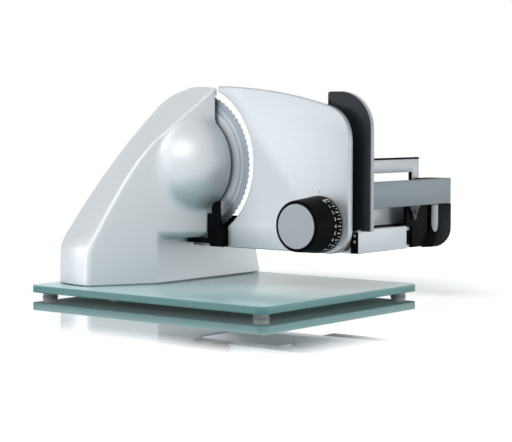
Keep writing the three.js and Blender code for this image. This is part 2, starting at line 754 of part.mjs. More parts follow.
add(
  "motor_shaft",
  union(worm(), bar("z", MOTOR_SHAFT_RADIUS, fanBottom, WORM_BAY_TOP - SEAT, WORM_X, WHEEL_Y, 20)),
  steel(),
);

function fan() {
  const hub = MOTOR_SHAFT_RADIUS + 4;
  const vanes = [];
  for (let i = 0; i < FAN_BLADES; i++) {
    const vane = new THREE.BoxGeometry(FAN_RADIUS - hub + 1, 1.6, FAN_HEIGHT);
    vane.rotateX(0.5).translate((FAN_RADIUS + hub) / 2, 0, 0);
    vane.rotateZ((2 * Math.PI * i) / FAN_BLADES);
    vanes.push(solid(vane.translate(WORM_X, WHEEL_Y, fanBottom + FAN_HEIGHT / 2)));
  }
  const core = bar("z", hub, fanBottom, fanBottom + FAN_HEIGHT, WORM_X, WHEEL_Y);
  const bore = bar("z", MOTOR_SHAFT_RADIUS + SEAT, -FAR, FAR, WORM_X, WHEEL_Y, 20);
  return cut(union(core, ...vanes), bore);
}
add("cooling_fan", fan(), gearPlastic());
add(
  "worm_bush",
  extruded(
    "z",
    ring(WORM_X, WHEEL_Y, WORM_BAY_RADIUS - SEAT, MOTOR_SHAFT_RADIUS + RUN),
    WORM_BAY_TOP - SEAT - BUSH_HEIGHT,
    WORM_BAY_TOP - SEAT,
  ),
  bronze(),
);

function wormWheel() {
  const outline = gearOutline(WHEEL_TEETH, WHEEL_RADIUS, TOOTH_HEIGHT, 0.5);
  outline.holes.push(circle(0, 0, BLADE_SHAFT_RADIUS + SEAT));
  const half = WHEEL_WIDTH / 2;
  const flat = extruded("y", outline, WHEEL_Y - half, WHEEL_Y + half);
  return flat.warp((vertex) => {
    const turn = ((vertex[1] - WHEEL_Y) * LEAD_SLOPE) / WHEEL_RADIUS;
    const [x, z] = [vertex[0], vertex[2]];
    vertex[0] = x * Math.cos(turn) + z * Math.sin(turn);
    vertex[2] = z * Math.cos(turn) - x * Math.sin(turn);
  });
}
add("worm_wheel", wormWheel(), gearPlastic());

add(
  "blade_shaft",
  bar("y", BLADE_SHAFT_RADIUS, CHAMBER_DEEP_Y - BEARING_WIDTH, SHAFT_END_Y),
  steel(),
);
const bearing = ring(0, 0, BEARING_RADIUS, BLADE_SHAFT_RADIUS + RUN);
add(
  "shaft_bearing_inner",
  extruded("y", bearing, CHAMBER_DEEP_Y - BEARING_WIDTH - SEAT, CHAMBER_DEEP_Y - SEAT),
  bronze(),
);
add("shaft_bearing_outer", extruded("y", bearing, COVER_FRONT - COVER_THICKNESS, COVER_FRONT), bronze());
add(
  "gear_cover",
  extruded(
    "y",
    ring(0, 0, CHAMBER_RADIUS - SEAT, BEARING_RADIUS + SEAT),
    COVER_FRONT - COVER_THICKNESS,
    COVER_FRONT,
  ),
  castAluminium(),
);

// Blade, its carrier and its lock
add(
  "blade_carrier",
  turned("y", [
    [BLADE_SHAFT_RADIUS + SEAT, CARRIER_FRONT - CARRIER_THICKNESS],
    [CARRIER_RADIUS, CARRIER_FRONT - CARRIER_THICKNESS],
    [CARRIER_RADIUS, CARRIER_FRONT],
    [BLADE_BORE - SEAT, CARRIER_FRONT],
    [BLADE_BORE - SEAT, -BLADE_BACK],
    [BLADE_SHAFT_RADIUS + SEAT, -BLADE_BACK],
    [BLADE_SHAFT_RADIUS + SEAT, CARRIER_FRONT - CARRIER_THICKNESS],
  ]),
  steel(),
);

function blade() {
  const half = BLADE_THICKNESS / 2;
  const bevelInner = BLADE_RADIUS - BLADE_BEVEL;
  const stations = [
    [BLADE_BORE, -half, 0],
    [bevelInner, -half, 0],
    [BLADE_RADIUS, -BLADE_EDGE / 2, BLADE_TOOTH],
    [BLADE_RADIUS, BLADE_EDGE / 2, BLADE_TOOTH],
    [bevelInner, half, 0],
    [BLADE_BORE, half, 0],
  ];
  const sides = 2 * BLADE_TEETH;
  return skin(
    stations.map(([radius, y, tooth]) => {
      const points = [];
      for (let j = 0; j < sides; j++) {
        const angle = (2 * Math.PI * j) / sides;
        const r = radius - (j % 2) * tooth;
        points.push(new THREE.Vector3(r * Math.cos(angle), y, r * Math.sin(angle)));
      }
      return points;
    }),
    true,
  );
}
add("blade", blade(), steel());

function bladeLock() {
  const low = -BLADE_BACK + SEAT;
  const high = low + LOCK_HEIGHT;
  const cap = turned("y", [
    [0, low],
    [LOCK_RADIUS, low],
    [LOCK_RADIUS, low + 2],
    [LOCK_RADIUS - 2, high - 4],
    [0, high - 4],
  ]);
  const grip = block(-LOCK_RADIUS + 4, LOCK_RADIUS - 4, low + 3, high, -LOCK_BAR / 2, LOCK_BAR / 2);
  const shaftRoom = bar("y", BLADE_SHAFT_RADIUS + RUN, -FAR, SHAFT_END_Y + RUN);
  return cut(union(cap, grip), shaftRoom);
}
add("blade_lock", bladeLock(), blackPlastic());

// Black guard that wraps the blade's lower edge
function edgeGuard() {
  const right = STOP_LEFT - 2 * SEAT;
  const sliceSide = polygon([
    [EDGE_GUARD_LEFT, EDGE_GUARD_STEP],
    [EDGE_GUARD_LEFT, EDGE_GUARD_KNEE],
    [EDGE_GUARD_LEFT + EDGE_GUARD_CORNER / 2, EDGE_GUARD_BOTTOM],
    [right, EDGE_GUARD_BOTTOM],
    [right, EDGE_GUARD_NOTCH - EDGE_GUARD_NECK],
    [right - 0.8 * EDGE_GUARD_NECK, EDGE_GUARD_NOTCH],
    [right - EDGE_GUARD_NECK, EDGE_GUARD_TOP],
    [right - 2 * EDGE_GUARD_NECK, EDGE_GUARD_TOP],
    [right - 2.3 * EDGE_GUARD_NECK, EDGE_GUARD_STEP],
  ]);
  const inner = BLADE_RADIUS - 5;
  const outer = BLADE_RADIUS + STOP_ARC_GAP - 1;
  const tongue = new THREE.Shape();
  const underTable = TABLE_TOP - TABLE_THICKNESS - 2;
  const start = -1.13;
  tongue.absarc(0, 0, outer, start, Math.asin(underTable / outer), false);
  tongue.absarc(0, 0, inner, Math.asin(underTable / inner), start, true);
  const foodSide = BLADE_THICKNESS / 2 + GUARD_GAP;
  const towerSide = block(-FAR, 0, -FAR, FAR, -FAR, FAR)
    .rotate([0, 0, THREE.MathUtils.radToDeg(-FACE_ANGLE)])
    .translate([EDGE_X, RECESS_FLOOR, 0])
    .translate([SEAT / Math.cos(FACE_ANGLE), 0, 0]);
  const front = cut(
    extruded("y", sliceSide, EDGE_GUARD_SIDE, -foodSide),
    towerSide,
    dome(DOME_RADIUS + 2 * SEAT),
  );
  const under = BLADE_RADIUS + 3;
  const bridge = cut(
    block(
      EDGE_GUARD_LEFT + EDGE_GUARD_NECK,
      right,
      EDGE_GUARD_SIDE,
      EDGE_GUARD_FOOD_SIDE,
      EDGE_GUARD_BOTTOM,
      EDGE_GUARD_KNEE + EDGE_GUARD_CORNER,
    ),
    bar("y", under, -foodSide, foodSide, 0, 0, 64),
  );
  const tab = block(
    EDGE_GUARD_TAB_X,
    EDGE_GUARD_LEFT + EDGE_GUARD_CORNER,
    EDGE_GUARD_TAB_FRONT - EDGE_GUARD_TAB_WIDTH,
    EDGE_GUARD_TAB_FRONT,
    OVERHANG_Z - EDGE_GUARD_TAB_HEIGHT,
    OVERHANG_Z - SEAT,
  );
  return union(
    front,
    bridge,
    extruded("y", tongue, foodSide, EDGE_GUARD_FOOD_SIDE),
    tab,
  );
}
add("blade_edge_guard", edgeGuard(), blackPlastic());

// Stop plate
function stopOutline() {
  const low = Math.acos((STOP_LEFT - STOP_ARC_X) / STOP_ARC);
  const tipX = STOP_ARC_X + STOP_ARC * Math.cos(STOP_TIP_ANGLE);
  const shape = new THREE.Shape();
  shape.moveTo(STOP_LEFT, STOP_BOTTOM);
  shape.lineTo(STOP_RIGHT - STOP_FOOT_CORNER, STOP_BOTTOM);
  shape.absarc(
    STOP_RIGHT - STOP_FOOT_CORNER,
    STOP_BOTTOM + STOP_FOOT_CORNER,
    STOP_FOOT_CORNER,
    -Math.PI / 2,
    0,
    false,
  );
  shape.lineTo(STOP_RIGHT, STOP_SHOULDER_Z - STOP_CORNER);
  shape.quadraticCurveTo(STOP_RIGHT, STOP_SHOULDER_Z - 8, STOP_SHOULDER_X, STOP_SHOULDER_Z);
  shape.quadraticCurveTo((STOP_SHOULDER_X + tipX) / 2 + 7, STOP_TOP - 2.6, tipX, STOP_TOP);
  shape.absarc(STOP_ARC_X, STOP_ARC_Z, STOP_ARC, STOP_TIP_ANGLE, -low, true);
  return shape;
}

function gearPocket(margin, low, high) {
  const radius = GEAR_RADIUS + GEAR_TOOTH + margin;
  const shape = new THREE.Shape();
  shape.absarc(KNOB_X, KNOB_Z, radius, 0, Math.PI, false);
  shape.absarc(KNOB_X, SCREW_Z, radius, Math.PI, 2 * Math.PI, false);
  return extruded("y", shape, low, high);
}

const stopPlate = cut(
  extruded("y", stopOutline(), STOP_FRONT, 0, STOP_EDGE),
  gearPocket(POCKET_MARGIN, POCKET_FLOOR, FAR),
  bar("y", SPINDLE_RADIUS + RUN, -FAR, FAR, KNOB_X, KNOB_Z),
  ...PIN_XS.map((x) => bar("y", PIN_RADIUS + SEAT, -PIN_BITE - SEAT, FAR, x, PIN_Z, 16)),
);
add("stop_plate", stopPlate, satinAluminium());
add(
  "stop_plate_cover",
  cut(
    gearPocket(POCKET_MARGIN - SEAT, -STOP_COVER_THICKNESS, 0),
    bar("y", SPINDLE_RADIUS + RUN, -FAR, FAR, KNOB_X, SCREW_Z),
  ),
  satinAluminium(),
);
PIN_XS.forEach((x, i) => {
  add(`guide_pin_${i + 1}`, bar("y", PIN_RADIUS, -PIN_BITE, PIN_END, x, PIN_Z, 16), steel());
  const bush = ring(x, PIN_Z, BUSH_RADIUS, PIN_RADIUS + RUN);
  add(`guide_bush_${i + 1}`, extruded("y", bush, ARM_LEFT, ARM_LEFT + BUSH_LENGTH), bronze());
});

// Thickness knob, its gears and the lead screw
const gearLow = -STOP_COVER_THICKNESS - SEAT - GEAR_WIDTH;
const gearHigh = -STOP_COVER_THICKNESS - SEAT;
function knobBody() {
  const bore = SPINDLE_RADIUS + SEAT;
  const bottom = KNOB_BACK - SPINDLE_BITE - SEAT;
  const rim = CAP_RADIUS + SEAT;
  const seat = KNOB_FRONT + CAP_THICKNESS;
  const profile = [
    [bore, KNOB_BACK],
    [bore, bottom],
    [0, bottom],
    [0, seat],
    [rim, seat],
    [rim, KNOB_FRONT],
    [KNOB_NOSE_RADIUS - KNOB_ROUND, KNOB_FRONT],
    [KNOB_NOSE_RADIUS - 0.3 * KNOB_ROUND, KNOB_FRONT + 0.3 * KNOB_ROUND],
    [KNOB_NOSE_RADIUS, KNOB_FRONT + KNOB_ROUND],
    [KNOB_RADIUS, KNOB_BACK - 1],
    [KNOB_RADIUS - 1, KNOB_BACK],
    [bore, KNOB_BACK],
  ];
  return turned("y", profile, KNOB_X, KNOB_Z, 32);
}
add("knob", knobBody(), blackPlastic());
add(
  "knob_cap",
  bar("y", CAP_RADIUS, KNOB_FRONT + SEAT, KNOB_FRONT + CAP_THICKNESS - SEAT, KNOB_X, KNOB_Z, 40),
  satinAluminium(),
);
add(
  "knob_spindle",
  bar("y", SPINDLE_RADIUS, KNOB_BACK - SPINDLE_BITE, gearHigh, KNOB_X, KNOB_Z, 20),
  steel(),
);
function gear(z, shift) {
  const outline = gearOutline(GEAR_TEETH, GEAR_RADIUS, GEAR_TOOTH, shift, KNOB_X, z);
  outline.holes.push(circle(KNOB_X, z, SPINDLE_RADIUS + SEAT));
  return extruded("y", outline, gearLow, gearHigh);
}
add("knob_gear", gear(KNOB_Z, 0), gearPlastic());
add("screw_gear", gear(SCREW_Z, 0.5), gearPlastic());
add("lead_screw", bar("y", SPINDLE_RADIUS, gearLow, LEAD_SCREW_END, KNOB_X, SCREW_Z, 20), steel());
add(
  "lead_nut",
  cut(
    block(
      KNOB_X - NUT_WIDTH / 2,
      KNOB_X + NUT_WIDTH / 2,
      ARM_LEFT + ARM_WALL + SEAT,
      ARM_LEFT + ARM_WALL + SEAT + NUT_LENGTH,
      ARM_BOTTOM,
      ARM_TOP - ARM_WALL - SEAT,
    ),
    bar("y", SPINDLE_RADIUS + RUN, -FAR, FAR, KNOB_X, SCREW_Z, 20),
  ),
  bronze(),
);

// Guide arm, its end plate and the rod in its groove
const armEnd = ARM_FRONT - END_PLATE - SEAT;
function guideArm() {
  const profile = polygon([
    [ARM_LEFT, ARM_BOTTOM],
    [ARM_LEFT + ARM_WALL, ARM_BOTTOM],
    [ARM_LEFT + ARM_WALL, ARM_TOP - ARM_WALL],
    [GROOVE_LEFT - ARM_WALL, ARM_TOP - ARM_WALL],
    [GROOVE_LEFT - ARM_WALL, ARM_BOTTOM],
    [ARM_RIGHT, ARM_BOTTOM],
    [ARM_RIGHT, GROOVE_BOTTOM],
    [GROOVE_LEFT, GROOVE_BOTTOM],
    [GROOVE_LEFT, GROOVE_TOP],
    [ARM_RIGHT, GROOVE_TOP],
    [ARM_RIGHT, ARM_TOP],
    [ARM_LEFT, ARM_TOP],
  ]);
  return cut(
    extruded("x", profile, ARM_BACK, armEnd),
    bar("y", SPINDLE_RADIUS + 2 * SEAT, -FAR, ARM_LEFT + 2 * ARM_WALL, KNOB_X, SCREW_Z, 20),
    ...PIN_XS.map((x) =>
      bar("y", BUSH_RADIUS + SEAT, -FAR, ARM_LEFT + 2 * ARM_WALL, x, PIN_Z, 24),
    ),
  );
}
add("guide_arm", guideArm(), castAluminium());
add(
  "arm_end_plate",
  extruded(
    "x",
    rectangle(ARM_LEFT, ARM_BOTTOM, GROOVE_LEFT + ARM_WALL, ARM_TOP),
    ARM_FRONT - END_PLATE,
    ARM_FRONT,
    0.6,
  ),
  castAluminium(),
);
const rodBack = ARM_BACK + 2;
const rodFront = armEnd - 2;
add("guide_rod", bar("x", ROD_RADIUS, rodBack, rodFront, ROD_Y, ROD_Z, 20), steel());
const holderOutline = rectangle(
  GROOVE_LEFT + SEAT,
  GROOVE_BOTTOM + SEAT,
  ARM_RIGHT,
  GROOVE_TOP - SEAT,
);
holderOutline.holes.push(circle(ROD_Y, ROD_Z, ROD_RADIUS + SEAT));
add("rod_holder_back", extruded("x", holderOutline, ARM_BACK, ARM_BACK + HOLDER_LENGTH), blackPlastic());
add("rod_holder_front", extruded("x", holderOutline, armEnd - HOLDER_LENGTH, armEnd), blackPlastic());

// Carriage
function table() {
  const front = FENCE_FRONT - FENCE_THICKNESS - SEAT;
  const outline = polygon([
    [TABLE_BACK, TABLE_LEFT],
    [THUMB_LEFT_X - SEAT, TABLE_LEFT],
    [THUMB_LEFT_X - SEAT, THUMB_BACK_Y + SEAT],
    [front, THUMB_BACK_Y + SEAT],
    [front, TABLE_RIGHT],
    [TABLE_BACK, TABLE_RIGHT],
  ]);
  return union(
    extruded("z", outline, TABLE_TOP - TABLE_THICKNESS, TABLE_TOP),
    block(TABLE_BACK, front, RIB_Y, RIB_Y + RIB_WIDTH, RIB_BOTTOM, TABLE_TOP - 1),
  );
}
add("carriage_table", table(), satinAluminium());
const ribMiddle = RIB_Y + RIB_WIDTH / 2;
add(
  "glide_strip",
  block(
    TABLE_BACK,
    FENCE_FRONT - FENCE_THICKNESS - SEAT,
    ribMiddle - GLIDE_WIDTH / 2,
    ribMiddle + GLIDE_WIDTH / 2,
    ARM_TOP + RUN,
    RIB_BOTTOM - SEAT,
  ),
  gearPlastic(),
);

function fenceOutline() {
  const shape = polygon([
    [THUMB_BACK_Y + SEAT, FENCE_BOTTOM],
    [BRACKET_RIGHT, FENCE_BOTTOM],
    [BRACKET_RIGHT, BRACKET_TOP + SEAT],
    [FENCE_RIGHT, BRACKET_TOP + SEAT],
    [FENCE_RIGHT, FENCE_TOP],
    [THUMB_BACK_Y + SEAT, FENCE_TOP],
  ]);
  shape.holes.push(rectangle(SLOT_LEFT, SLOT_BOTTOM, SLOT_RIGHT, SLOT_TOP));
  return shape;
}
add(
  "carriage_fence",
  extruded("x", fenceOutline(), FENCE_FRONT - FENCE_THICKNESS, FENCE_FRONT),
  steel(),
);

function thumbOutline() {
  const shape = new THREE.Shape();
  shape.moveTo(THUMB_LEFT_X, THUMB_BOTTOM);
  shape.lineTo(THUMB_FRONT_X, THUMB_BOTTOM);
  shape.absarc(THUMB_FRONT_X - THUMB_ROUND, THUMB_TOP - THUMB_ROUND, THUMB_ROUND, 0, Math.PI / 2, false);
  shape.absarc(THUMB_LEFT_X + 3, THUMB_TOP - 3, 3, Math.PI / 2, Math.PI, false);
  return shape;
}
add("thumb_guard", extruded("y", thumbOutline(), THUMB_Y, THUMB_BACK_Y, THUMB_EDGE), slatePlastic());

function barOutline() {
  const inner = BAR_FRONT - BAR_THICKNESS;
  const r = BAR_ROUND;
  const shape = new THREE.Shape();
  shape.moveTo(inner, THUMB_BACK_Y + SEAT);
  shape.lineTo(BAR_FRONT, THUMB_BACK_Y + SEAT);
  shape.absarc(BAR_FRONT - r, BAR_RIGHT - r, r, 0, Math.PI / 2, false);
  shape.lineTo(FENCE_FRONT + SEAT, BAR_RIGHT);
  shape.lineTo(FENCE_FRONT + SEAT, BAR_RIGHT - BAR_THICKNESS);
  shape.lineTo(inner, BAR_RIGHT - BAR_THICKNESS);
  return shape;
}
add("grip_bar", extruded("z", barOutline(), BAR_BOTTOM, BAR_TOP), steel());

function handleOutline() {
  const left = BRACKET_RIGHT + SEAT;
  const right = BAR_RIGHT;
  const inset = right - BAR_THICKNESS - SEAT;
  const step = BAR_BOTTOM - SEAT;
  const innerRight = right - HANDLE_SIDE;
  const innerBottom = HANDLE_BOTTOM + HANDLE_FLOOR;
  const outer = HANDLE_ROUND;
  const inner = HANDLE_INNER_ROUND;
  const shape = new THREE.Shape();
  shape.moveTo(left, HANDLE_BOTTOM);
  shape.absarc(right - outer, HANDLE_BOTTOM + outer, outer, -Math.PI / 2, 0, false);
  shape.lineTo(right, step);
  shape.lineTo(inset, step);
  shape.lineTo(inset, BAR_TOP);
  shape.lineTo(left + HANDLE_LIP_IN, BAR_TOP);
  shape.lineTo(left + HANDLE_LIP_IN, BAR_TOP - HANDLE_LIP);
  shape.lineTo(innerRight, BAR_TOP - HANDLE_LIP);
  shape.absarc(innerRight - inner, innerBottom + inner, inner, 0, -Math.PI / 2, true);
  shape.lineTo(left, innerBottom);
  return shape;
}
add(
  "handle_shell",
  extruded("x", handleOutline(), FENCE_FRONT + SEAT, BAR_FRONT - BAR_THICKNESS - SEAT),
  blackPlastic(),
);

// Section of the bracket beside the arm, reaching over it from the left up to a height
function bracketOutline(left, top) {
  const arm = ARM_RIGHT + RUN;
  return polygon([
    [arm, BRACKET_BOTTOM],
    [BRACKET_RIGHT - BRACKET_CORNER, BRACKET_BOTTOM],
    [BRACKET_RIGHT, BRACKET_BOTTOM + BRACKET_CORNER],
    [BRACKET_RIGHT, top],
    [left, top],
    [left, ARM_TOP + RUN],
    [arm, ARM_TOP + RUN],
  ]);
}

function bracket() {
  const arm = ARM_RIGHT + RUN;
  const underTable = bracketOutline(GROOVE_LEFT, BRACKET_TOP);
  const underFence = bracketOutline(arm - ARM_WALL, FENCE_BOTTOM - SEAT);
  const frontPlate = bracketOutline(LEVER_PIVOT_Y - LEVER_WIDTH / 2, BAR_BOTTOM - SEAT);
  const shoeSeat = (back) =>
    block(back - SEAT, back + SHOE_LENGTH + SEAT, 0, arm + 2 + SEAT, GROOVE_BOTTOM, GROOVE_TOP);
  return cut(
    union(
      extruded("x", underTable, BRACKET_BACK, FENCE_FRONT - FENCE_THICKNESS - SEAT),
      extruded("x", underFence, BRACKET_BACK, BRACKET_FRONT),
      extruded("x", frontPlate, BRACKET_FRONT - BRACKET_PLATE, BRACKET_FRONT),
    ),
    ...SHOE_BACKS.map(shoeSeat),
    bar("x", LEVER_PIN_RADIUS + SEAT, BRACKET_FRONT - LEVER_PIN_BITE - SEAT, FAR, LEVER_PIVOT_Y, LEVER_PIVOT_Z, 12),
  );
}
add("carriage_bracket", bracket(), blackPlastic());

const shoeOutline = rectangle(
  GROOVE_LEFT + RUN,
  GROOVE_BOTTOM + RUN,
  ARM_RIGHT + RUN + 2,
  GROOVE_TOP - RUN,
);
shoeOutline.holes.push(circle(ROD_Y, ROD_Z, ROD_RADIUS + RUN));
["shoe_rear", "shoe_front"].forEach((name, i) => {
  const back = SHOE_BACKS[i];
  add(name, extruded("x", shoeOutline, back, back + SHOE_LENGTH), gearPlastic());
});

function lever() {
  const half = LEVER_WIDTH / 2;
  const tip = LEVER_TIP / 2;
  const outline = new THREE.Shape();
  outline.moveTo(LEVER_PIVOT_Y - half, LEVER_PIVOT_Z + LEVER_RISE);
  outline.quadraticCurveTo(
    LEVER_PIVOT_Y - tip,
    LEVER_PIVOT_Z,
    LEVER_PIVOT_Y - tip,
    LEVER_PIVOT_Z - LEVER_DROP + tip,
  );
  outline.absarc(LEVER_PIVOT_Y, LEVER_PIVOT_Z - LEVER_DROP + tip, tip, Math.PI, 2 * Math.PI, false);
  outline.quadraticCurveTo(
    LEVER_PIVOT_Y + tip,
    LEVER_PIVOT_Z,
    LEVER_PIVOT_Y + half,
    LEVER_PIVOT_Z + LEVER_RISE,
  );
  outline.holes.push(circle(LEVER_PIVOT_Y, LEVER_PIVOT_Z, LEVER_PIN_RADIUS + RUN));
  const back = BRACKET_FRONT + SEAT;
  return extruded("x", outline, back, back + LEVER_THICKNESS);
}
add("lock_lever", lever(), slatePlastic());
add(
  "lever_pin",
  bar(
    "x",
    LEVER_PIN_RADIUS,
    BRACKET_FRONT - LEVER_PIN_BITE,
    BRACKET_FRONT + SEAT + LEVER_THICKNESS + 0.6,
    LEVER_PIVOT_Y,
    LEVER_PIVOT_Z,
    12,
  ),
  steel(),
);

// Origin: middle of the outline, on the surface that the slicer stands on
machine.position.set(
  -(PLATE_BACK + THUMB_FRONT_X) / 2,
  -(PLATE_LEFT + BAR_RIGHT) / 2,
  BLADE_HEIGHT,
);
const slicer = new THREE.Group();
slicer.add(machine);
export default slicer;
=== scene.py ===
"""Food slicer on a glass base: the finished pieces and materials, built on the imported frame.

Sizes are in millimetres, measured from the blade's centre: +X towards the user, +Y towards the
food, -Y the side where slices fall, +Z up. point() turns them into metres in the frame.
"""
import json
import math

import bpy
from mathutils import Matrix, Vector


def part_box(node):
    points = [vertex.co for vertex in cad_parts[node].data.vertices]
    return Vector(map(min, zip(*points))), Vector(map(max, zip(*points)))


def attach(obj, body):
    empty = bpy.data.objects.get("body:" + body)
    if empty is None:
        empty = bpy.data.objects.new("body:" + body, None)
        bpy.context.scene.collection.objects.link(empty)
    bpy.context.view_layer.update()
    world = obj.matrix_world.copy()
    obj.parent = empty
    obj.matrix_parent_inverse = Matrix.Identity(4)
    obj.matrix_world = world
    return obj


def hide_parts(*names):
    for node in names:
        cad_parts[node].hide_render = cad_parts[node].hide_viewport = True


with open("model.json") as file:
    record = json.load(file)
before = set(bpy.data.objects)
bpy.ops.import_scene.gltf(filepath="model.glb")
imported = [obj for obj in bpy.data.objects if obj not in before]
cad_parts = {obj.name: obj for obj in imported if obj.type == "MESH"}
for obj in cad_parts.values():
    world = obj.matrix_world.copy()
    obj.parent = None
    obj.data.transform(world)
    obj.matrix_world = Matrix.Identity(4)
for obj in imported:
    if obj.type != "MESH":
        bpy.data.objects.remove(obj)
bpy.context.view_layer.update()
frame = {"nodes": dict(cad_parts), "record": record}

MM = 0.001
scene = bpy.context.scene
scene.view_settings.view_transform = "Standard"

blade_low, blade_high = (Vector(corner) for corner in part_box("blade"))
BLADE_CENTRE = (blade_low + blade_high) / 2
X_AXIS = Vector((1, 0, 0))
Y_AXIS = Vector((0, 1, 0))
Z_AXIS = Vector((0, 0, 1))


def point(x, y, z):
    return BLADE_CENTRE + Vector((x, y, z)) * MM


def extent(node):
    """A node's lowest and highest corners, in millimetres from the blade's centre."""
    low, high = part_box(node)
    return (Vector(low) - BLADE_CENTRE) / MM, (Vector(high) - BLADE_CENTRE) / MM


def middle(node):
    """The middle of a node's box, in millimetres from the blade's centre."""
    low, high = extent(node)
    return (low + high) / 2


def end_of(node):
    """The middle of a node's end at the tower's back."""
    centre = middle(node)
    return point(extent(node)[0].x, centre.y, centre.z)


# Materials

def linear(code):
    """An sRGB hex colour as linear red, green, blue and alpha."""
    channels = [int(code[i:i + 2], 16) / 255 for i in (0, 2, 4)]
    return (*(c / 12.92 if c <= 0.04045 else ((c + 0.055) / 1.055) ** 2.4 for c in channels), 1)


def add_node(tree, kind, inputs, **settings):
    """A node with its settings. An input is a value, or the node or socket that it comes from."""
    made = tree.nodes.new(kind)
    for name, value in settings.items():
        setattr(made, name, value)
    for socket, value in inputs.items():
        if isinstance(value, bpy.types.Node):
            value = next(output for output in value.outputs if output.enabled)
        if isinstance(value, bpy.types.NodeSocket):
            tree.links.new(value, made.inputs[socket])
        else:
            made.inputs[socket].default_value = value
    return made


def new_material(name):
    """An empty material, its node tree, and the place on the object."""
    material = bpy.data.materials.new(name)
    material.use_nodes = True
    tree = material.node_tree
    tree.nodes.clear()
    return material, tree, add_node(tree, "ShaderNodeTexCoord", {}).outputs["Object"]


def shows_background(tree):
    """1 for the rays that show the background: seen straight, mirrored or through glass."""
    ray = add_node(tree, "ShaderNodeLightPath", {})
    seen = add_node(tree, "ShaderNodeMath", {
        0: ray.outputs["Is Camera Ray"],
        1: ray.outputs["Is Glossy Ray"],
    }, operation="MAXIMUM")
    return add_node(tree, "ShaderNodeMath", {
        0: seen,
        1: ray.outputs["Is Transmission Ray"],
    }, operation="MAXIMUM")


def grained(name, dark, light, grain, detail, roughness, relief=None, cloud=None, **surface):
    """A finish with a grain, its size given in millimetres along X, Y and Z.

    The grain runs between two colours and two roughnesses, or the roughness follows clouds of a
    size of their own. Relief is a depth in millimetres and a strength. What else the surface has
    goes to the shader as it is.
    """
    material, tree, place = new_material(name)
    drawn_out = add_node(tree, "ShaderNodeMapping", {
        "Vector": place,
        "Scale": [1 / (length * MM) for length in grain],
    })
    noise = add_node(tree, "ShaderNodeTexNoise", {"Vector": drawn_out, "Scale": 1, "Detail": detail})
    dullness = noise
    if cloud:
        scale = 1 / (cloud * MM)
        dullness = add_node(tree, "ShaderNodeTexNoise", {"Vector": place, "Scale": scale, "Detail": 2})
    colour = add_node(tree, "ShaderNodeMix", {
        "Factor": noise,
        "A": linear(dark),
        "B": linear(light),
    }, data_type="RGBA")
    inputs = {
        "Base Color": colour,
        "Roughness": add_node(tree, "ShaderNodeMapRange", {
            "Value": dullness,
            "To Min": roughness[0],
            "To Max": roughness[1],
        }),
        **surface,
    }
    if relief:
        depth, strength = relief
        inputs["Normal"] = add_node(tree, "ShaderNodeBump", {
            "Height": noise,
            "Distance": depth * MM,
            "Strength": strength,
        })
    shader = add_node(tree, "ShaderNodeBsdfPrincipled", inputs)
    add_node(tree, "ShaderNodeOutputMaterial", {"Surface": shader})
    return material


def lacquered_casting():
    """Die-cast aluminium, blasted and lacquered silver: a broad soft sheen with fine metal flake."""
    # Real flake is some 0.05 mm wide, drawn here at 0.8 mm so that it shows
    flake = (0.8, 0.8, 0.8)
    name = "silver_lacquered_cast_aluminium"
    shine = {"cloud": 60, "Metallic": 0.75}
    return grained(name, "C7CCD0", "D7DBDE", flake, 2, (0.42, 0.48), (0.04, 0.2), **shine)


def satin_plate(name, dark, light, metallic, grain):
    """Aluminium plate, finely brushed and anodised: level hairlines and silky reflections."""
    # Hairlines are 0.6 mm wide, wider than the real 0.1 mm so that they show
    return grained(name, dark, light, grain, 3, (0.34, 0.42), (0.02, 0.12), Metallic=metallic)


def blasted_cap():
    """Aluminium disc, bead blasted and anodised: even, pale and nearly matt."""
    # Blasting pits are some 0.1 mm wide, drawn here at 0.5 mm so that they show
    pits = (0.5, 0.5, 0.5)
    name = "blasted_anodised_aluminium"
    return grained(name, "969CA2", "A5ABB0", pits, 2, (0.46, 0.56), (0.03, 0.25), Metallic=0.5)


def brushed_strip():
    """Stainless strip, brushed along its length: long fine scratches and a grey sheen."""
    # Scratches some 60 mm long and 0.4 mm wide, wider than the real 0.05 mm so that they show
    scratches = (0.4, 60, 0.4)
    name = "brushed_stainless_steel"
    return grained(name, "666F74", "747D81", scratches, 4, (0.3, 0.42), (0.02, 0.15), Metallic=0.9)


def plated_steel(name, dark, light):
    """Drawn steel, plated or blackened: small bright highlights and a faint mottle."""
    return grained(name, dark, light, (1.2, 1.2, 1.2), 2, (0.2, 0.32), Metallic=1)


def moulded_plastic(name, dark, light, roughness, gloss=0.5):
    """Injection-moulded plastic with a spark-eroded grain: soft broken highlights."""
    # Eroded grain is some 0.1 mm wide, drawn here at 0.6 mm so that it shows
    erosion = (0.6, 0.6, 0.6)
    shine = {"IOR": 1.53, "Specular IOR Level": gloss}
    return grained(name, dark, light, erosion, 2, roughness, (0.03, 0.15), **shine)


def sintered_bronze():
    """Bronze powder, sintered and oil filled: warm, matt and speckled with pores."""
    pores = (0.4, 0.4, 0.4)
    name = "sintered_bronze"
    return grained(name, "7A5E33", "A98A55", pores, 3, (0.4, 0.55), (0.03, 0.3), Metallic=0.9)


BLADE_BAND = 75.5  # where the blade's ground bevel starts


